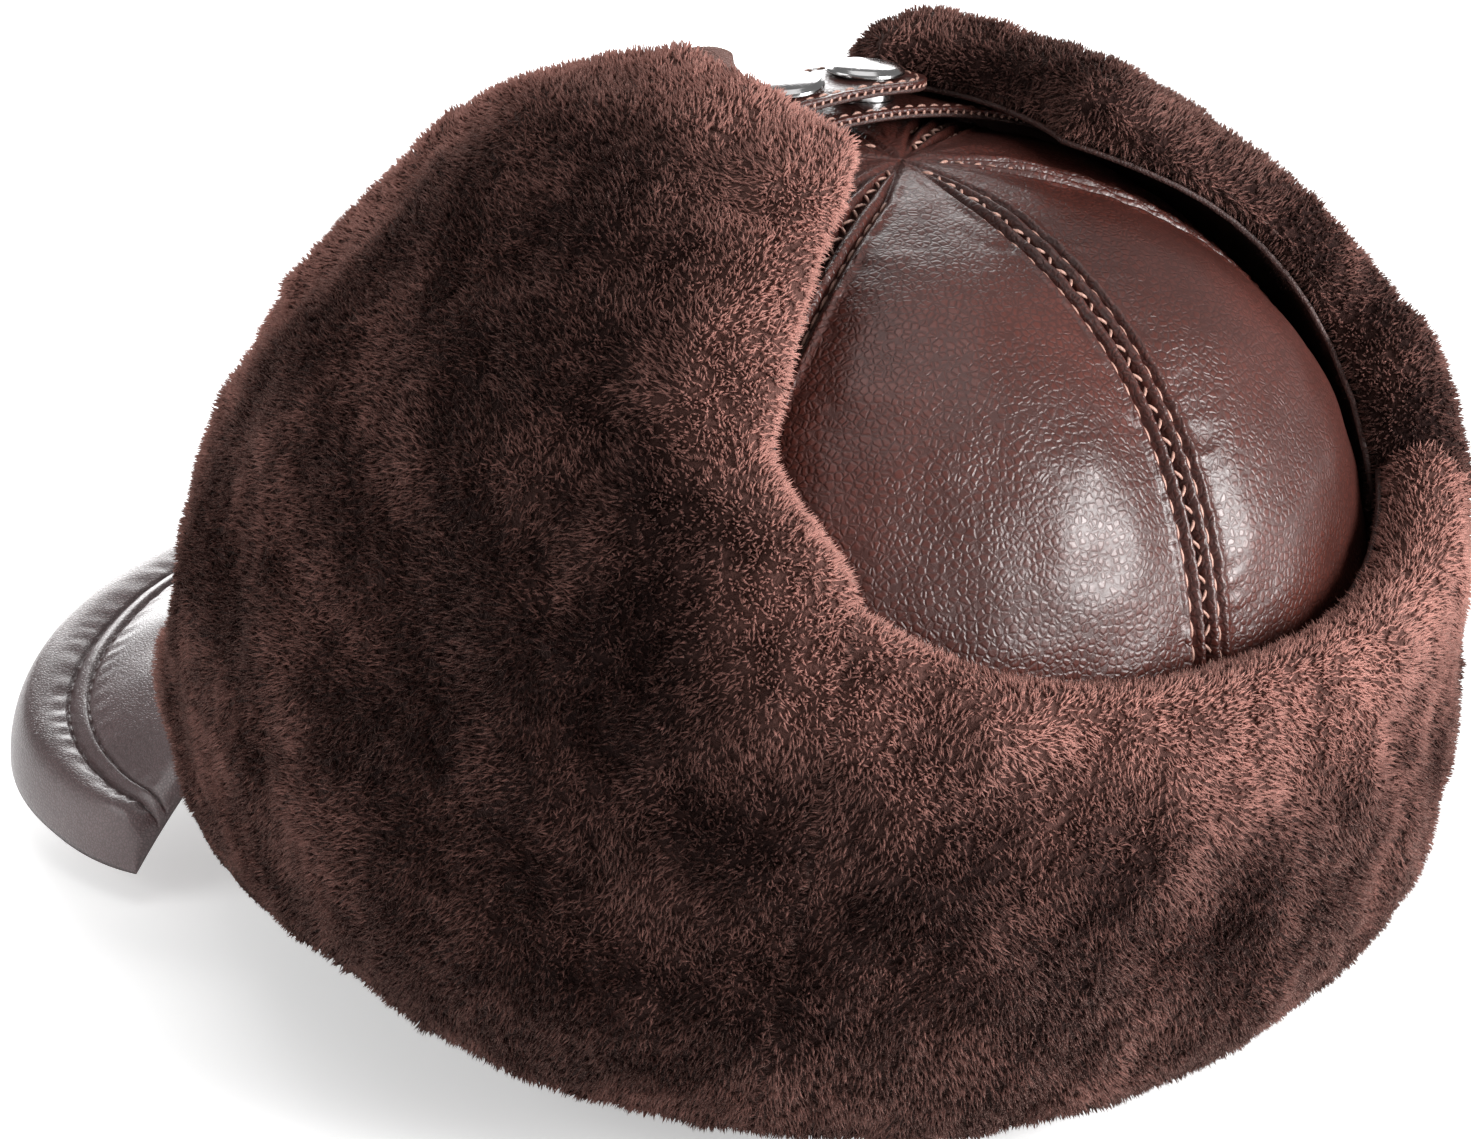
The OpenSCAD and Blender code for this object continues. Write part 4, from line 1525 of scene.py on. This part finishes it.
@dataclass
class Straps:
    """Two double-leather straps that meet over the crown, and the two snaps that join them."""

    width: float = 18
    ply_t: float = 1
    place_y: float = 0
    fit_x: float = 40
    upper_tip: float = -18
    upper_root: float = 18
    sewn_to: float = 37
    lower_tip: float = 17
    lower_root: float = -44
    lower_o: float = 2.4
    stud_base_t: float = 0.4
    gap: float = 0.2
    socket_t: float = 1.7
    snap_places: tuple = (-7.0, 10.0)
    snap_r: float = 7
    stitch_inset: float = 1.6
    stitch_pitch: float = 3.0
    bead_pitch: float = 1.9
    cap_skirt: tuple = ((0.80, 0.25), (0.96, 0.28), (1.0, 0.50), (1.0, 0.95), (0.975, 1.18), (0.93, 1.33))
    dome_h: float = 1.07

    def __post_init__(self) -> None:
        """Work out the arc that the straps follow, and the heights of their layers."""
        drop = FORM.top_z(0, self.place_y) - FORM.top_z(self.fit_x, self.place_y)
        self.arc_r = float((self.fit_x**2 + drop**2) / (2 * drop))
        ends = [FORM.top_z(0, self.place_y + k * self.width / 2) for k in (1, -1)]
        self.slope = float(np.arctan((ends[0] - ends[1]) / self.width))
        self.upper_o = self.lower_o + 2 * self.ply_t + self.stud_base_t + self.socket_t + 2 * self.gap
        self.upper_top_o = self.upper_o + 2 * self.ply_t

    def place(self, x: Array, y: Array, o: Array) -> Array:
        """Place points on the straps' arc.

        Args:
            x: places along the arc, from its top.
            y: places across the strap.
            o: heights above the crown.

        Returns:
            The points in the hat's frame.
        """
        angle = np.arcsin(x / self.arc_r)
        reach = self.arc_r + o
        local = np.stack([reach * np.sin(angle), y + 0 * x, reach * np.cos(angle) - self.arc_r], -1)
        turn = np.array(Matrix.Rotation(self.slope, 3, "X"))
        return local @ turn.T + np.array([0, self.place_y, float(FORM.top_z(0, self.place_y))])

    def ply(self, tip: float, root: float, low_o: float, round_tip: bool = True) -> Surface:
        """Cut one leather ply, with its edges rolled.

        Args:
            tip: where along the arc its free end is.
            root: where its other end is.
            low_o: how high over the crown its underside is.
            round_tip: whether its free end is round.

        Returns:
            The ply.
        """
        steps = np.concatenate([np.sin(np.linspace(0, math.pi / 2, 26)) ** 2 * 0.3, np.linspace(0.31, 1, 44)])
        x = mix(tip, root, steps)
        u = np.sin(np.linspace(-math.pi / 2, math.pi / 2, 33))
        from_tip = np.abs(x - tip)
        half = self.width / 2
        wide = half * np.ones_like(x)
        if round_tip:
            wide = half * np.sqrt(clip(1 - np.maximum(0, 1 - from_tip / half) ** 2)) * 0.999 + 0.02
        xx, uu = np.meshgrid(x, u, indexing="ij")
        yy = uu * wide[:, None]
        to_edge = (1 - np.abs(uu)) * wide[:, None]
        if not round_tip:
            to_edge = np.minimum(to_edge, np.minimum(np.abs(xx - tip), np.abs(xx - root)))
        else:
            to_edge = np.minimum(to_edge, np.abs(xx - tip) * 0.8)
        fat = mix(0.30, 1.0, rounded(to_edge, 0.7)) * self.ply_t
        middle = low_o + self.ply_t / 2
        crown = 0.12 * SoftNoise(9, 61)(np.stack([xx, yy, xx * 0], -1)) * rounded(to_edge, 2.5)
        channel = -0.22 * hill(to_edge - self.stitch_inset, 0.45)
        high = self.place(xx, yy, middle + fat / 2 + channel + crown)
        low = self.place(xx, yy, middle - fat / 2)
        if root < tip:
            high, low = high[::-1], low[::-1]
        return shell(high, low)

    def edge_stitches(self, tip: float, root: float, top_o: float) -> Surface:
        """Sew a strap along both long edges and round its tip.

        Args:
            tip: where along the arc its free end is.
            root: where its other end is.
            top_o: how high over the crown its top is.

        Returns:
            The stitches, and the beads of thread on the strap's edge.
        """
        inset = self.stitch_inset
        half = self.width / 2
        way = math.copysign(1, root - tip)
        turn = np.radians(np.linspace(90, -90, 40))
        bend_x = tip + way * (half - np.cos(turn) * (half - inset))
        bend_y = np.sin(turn) * (half - inset)
        straight = np.linspace(root - way, tip + way * half, 60)
        x = np.concatenate([straight, bend_x, straight[::-1]])
        y = np.concatenate([np.full(60, half - inset), bend_y, np.full(60, inset - half)])
        middles, along = walk(self.place(x, y, np.full_like(x, top_o - 0.02)), self.stitch_pitch, 1)
        rows = [Stitch(2.3, 0.6, 0.42).sewn(middles, along, FORM.up(middles))]
        seam_o = top_o - self.ply_t
        bend_x = tip + way * (half - np.cos(turn) * half)
        bend_y = np.sin(turn) * half
        x = np.concatenate([straight, bend_x, straight[::-1]])
        y = np.concatenate([np.full(60, half), bend_y, np.full(60, -half)])
        line = self.place(x, y, np.full_like(x, seam_o))
        middles, along = walk(line, self.bead_pitch, 1)
        outward = unit(np.cross(along, FORM.up(middles)))
        centre = self.place(np.full(1, (tip + root) / 2), np.zeros(1), np.full(1, seam_o))
        outward *= np.sign(((middles - centre) * outward).sum(1, keepdims=True))
        rows.append(Stitch(1.7, 0.75, 0.35).sewn(middles - 0.12 * outward, FORM.up(middles) + 0.25 * along, outward))
        return Surface.joined(rows)

    def snap_cap(self, name: str, x: float) -> bpy.types.Object:
        """Model a snap's domed cap by hand: a disc that is extruded up its skirt and in over its dome.

        Args:
            name: the cap's name.
            x: where along the straps' arc it sits.

        Returns:
            The cap, at its place.
        """
        rim_share, rim_z = self.cap_skirt[-1]
        radius, height = self.cap_skirt[0][0], 0.0
        bpy.ops.object.select_all(action="DESELECT")
        bpy.ops.mesh.primitive_circle_add(vertices=56, radius=self.snap_r * radius, fill_type="NGON")
        cap = bpy.context.active_object
        cap.name = cap.data.name = name
        bpy.ops.object.mode_set(mode="EDIT")
        bpy.ops.mesh.select_all(action="SELECT")
        turns = np.radians([12, 24, 36, 48, 60, 72, 82])
        dome = [(rim_share * math.cos(k), rim_z + self.dome_h * math.sin(k)) for k in turns]
        for share, rise in [*self.cap_skirt, *dome]:
            bpy.ops.mesh.extrude_region_move(TRANSFORM_OT_translate={"value": (0, 0, rise - height)})
            factor = share / radius
            bpy.ops.transform.resize(value=(factor, factor, 1), center_override=(0, 0, rise))
            radius, height = share, rise
        bpy.ops.mesh.select_all(action="SELECT")
        bpy.ops.mesh.normals_make_consistent(inside=False)
        bpy.ops.object.mode_set(mode="OBJECT")
        bpy.ops.object.shade_smooth_by_angle(angle=math.radians(50))
        angle = math.asin(x / self.arc_r)
        tilt = Matrix.Rotation(-math.radians(FORM.tilt_deg), 4, "X") @ Matrix.Rotation(self.slope, 4, "X")
        turn = tilt @ Matrix.Rotation(angle, 4, "Y")
        spot = FORM.stand(self.place(np.array([x]), np.array([0.0]), np.array([self.upper_top_o - 0.05])))[0]
        cap.data.transform(Matrix.Translation(Vector(spot)) @ turn @ Matrix.Scale(MM, 4))
        cap.data.materials.append(METAL.material())
        return cap

    def build(self) -> None:
        """Build the straps and the snaps."""
        o, t = self.upper_o, self.ply_t
        sides = (
            ("upper_strap", self.upper_tip, self.upper_root, o, "left_strap", "left_strap"),
            ("lower_strap", self.lower_tip, self.lower_root, self.lower_o, "right_flap", "right_strap"),
        )
        for name, tip, root, low_o, body, node in sides:
            top = build_piece(f"{name}_top", self.ply(tip, root, low_o + t), CROWN_LEATHER)
            settle(top, body, [f"{node}_leather"])
            back = build_piece(f"{name}_backing", self.ply(tip, root, low_o), BACKING_LEATHER)
            settle(back, body, [f"{node}_backing"])
            rows = build_piece(f"{name}_stitches", self.edge_stitches(tip, root, low_o + 2 * t), CROWN_THREAD)
            settle(rows, body, [f"{node}_stitching"])
        start = self.upper_root + 2 * self.gap
        end = Surface.joined([self.ply(start, self.sewn_to, o, False), self.ply(start, self.sewn_to, o + t, False)])
        end = build_piece("upper_strap_root", end, CROWN_LEATHER)
        settle(end, "left_flap", ["left_strap_sewn_end"])
        for k, x in enumerate(self.snap_places):
            settle(self.snap_cap(f"snap_cap_{k + 1}", x), "left_strap", ["snap_caps"])
        for node in ("snap_sockets", "snap_studs", "snap_eyelets"):
            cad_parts[node].data.materials.clear()
            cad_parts[node].data.materials.append(METAL.material())


# ---- The studio -----------------------------------------------------------------------


@dataclass(frozen=True)
class Lamp:
    """A soft square light that faces the hat, with degrees round and above it, metres and watts."""

    name: str
    azimuth: float
    elevation: float
    far: float
    size: float
    power: float


@dataclass
class Studio:
    """A pale floor, soft lights and the camera."""

    azimuth: float = 140.75
    elevation: float = 20.15
    distance: float = 0.7
    focal_px: float = 3742
    frame_w: int = 1471
    aim: tuple = (0.0, -0.00107, 0.04386)
    aim_right: float = 25.5
    aim_down: float = 29.5
    lamps: tuple = (
        Lamp("key", 201, 16, 1.1, 0.5, 23),
        Lamp("fill", 72, 20, 1.3, 0.8, 6),
        Lamp("top", 150, 80, 1.1, 0.8, 3),
        Lamp("front", 329, 15, 1.3, 1.1, 26),
    )
    sky: float = 0.34
    floor_size: float = 12
    floor_gap: float = 0.0004

    def back(self, azimuth: float, elevation: float) -> Vector:
        """Return the direction from the aim towards a place round the object."""
        a, e = math.radians(azimuth), math.radians(elevation)
        return Vector((math.sin(a) * math.cos(e), -math.cos(a) * math.cos(e), math.sin(e)))

    def camera(self) -> None:
        """Set the camera up."""
        data = bpy.data.cameras.new("camera")
        data.sensor_width = 36
        data.lens = self.focal_px / self.frame_w * data.sensor_width
        data.shift_x = -self.aim_right / self.frame_w
        data.shift_y = self.aim_down / self.frame_w
        data.clip_start, data.clip_end = 0.01, 50
        camera = bpy.data.objects.new("camera", data)
        back = self.back(self.azimuth, self.elevation)
        camera.location = Vector(self.aim) + back * self.distance
        camera.rotation_mode = "QUATERNION"
        camera.rotation_quaternion = (-back).to_track_quat("-Z", "Y")
        bpy.context.scene.collection.objects.link(camera)
        bpy.context.scene.camera = camera

    def light(self, plan: Lamp) -> None:
        """Hang one light.

        Args:
            plan: its place, size and power.
        """
        data = bpy.data.lights.new(plan.name, "AREA")
        data.shape = "SQUARE"
        data.size = plan.size
        data.energy = plan.power
        lamp = bpy.data.objects.new(plan.name, data)
        back = self.back(plan.azimuth, plan.elevation)
        lamp.location = Vector(self.aim) + back * plan.far
        lamp.rotation_mode = "QUATERNION"
        lamp.rotation_quaternion = (-back).to_track_quat("-Z", "Y")
        bpy.context.scene.collection.objects.link(lamp)

    def floor(self) -> None:
        """Lay the floor under the hat's lowest point."""
        bpy.ops.object.select_all(action="DESELECT")
        bpy.ops.mesh.primitive_plane_add(size=self.floor_size, location=(0, 0, CAD_BOX[0].z - self.floor_gap))
        floor = bpy.context.active_object
        floor.name = "floor"
        bpy.ops.object.transform_apply(location=True, rotation=False, scale=False)
        floor.data.materials.append(FLOOR.material())

    def build(self) -> None:
        """Build the studio."""
        self.camera()
        self.floor()
        for plan in self.lamps:
            self.light(plan)
        world = bpy.data.worlds.new("studio")
        world.use_nodes = True
        ground = next(n for n in world.node_tree.nodes if n.type == "BACKGROUND")
        ground.inputs["Color"].default_value = (1, 1, 1, 1)
        ground.inputs["Strength"].default_value = self.sky
        bpy.context.scene.world = world
        bpy.context.scene.view_settings.view_transform = "Standard"


def main() -> None:
    """Build the hat and the studio round it."""
    logging.basicConfig(level=logging.INFO)
    Studio().build()
    Crown().build()
    Visor().build()
    FurWrap().build()
    Straps().build()


if __name__ == "__main__":
    main()
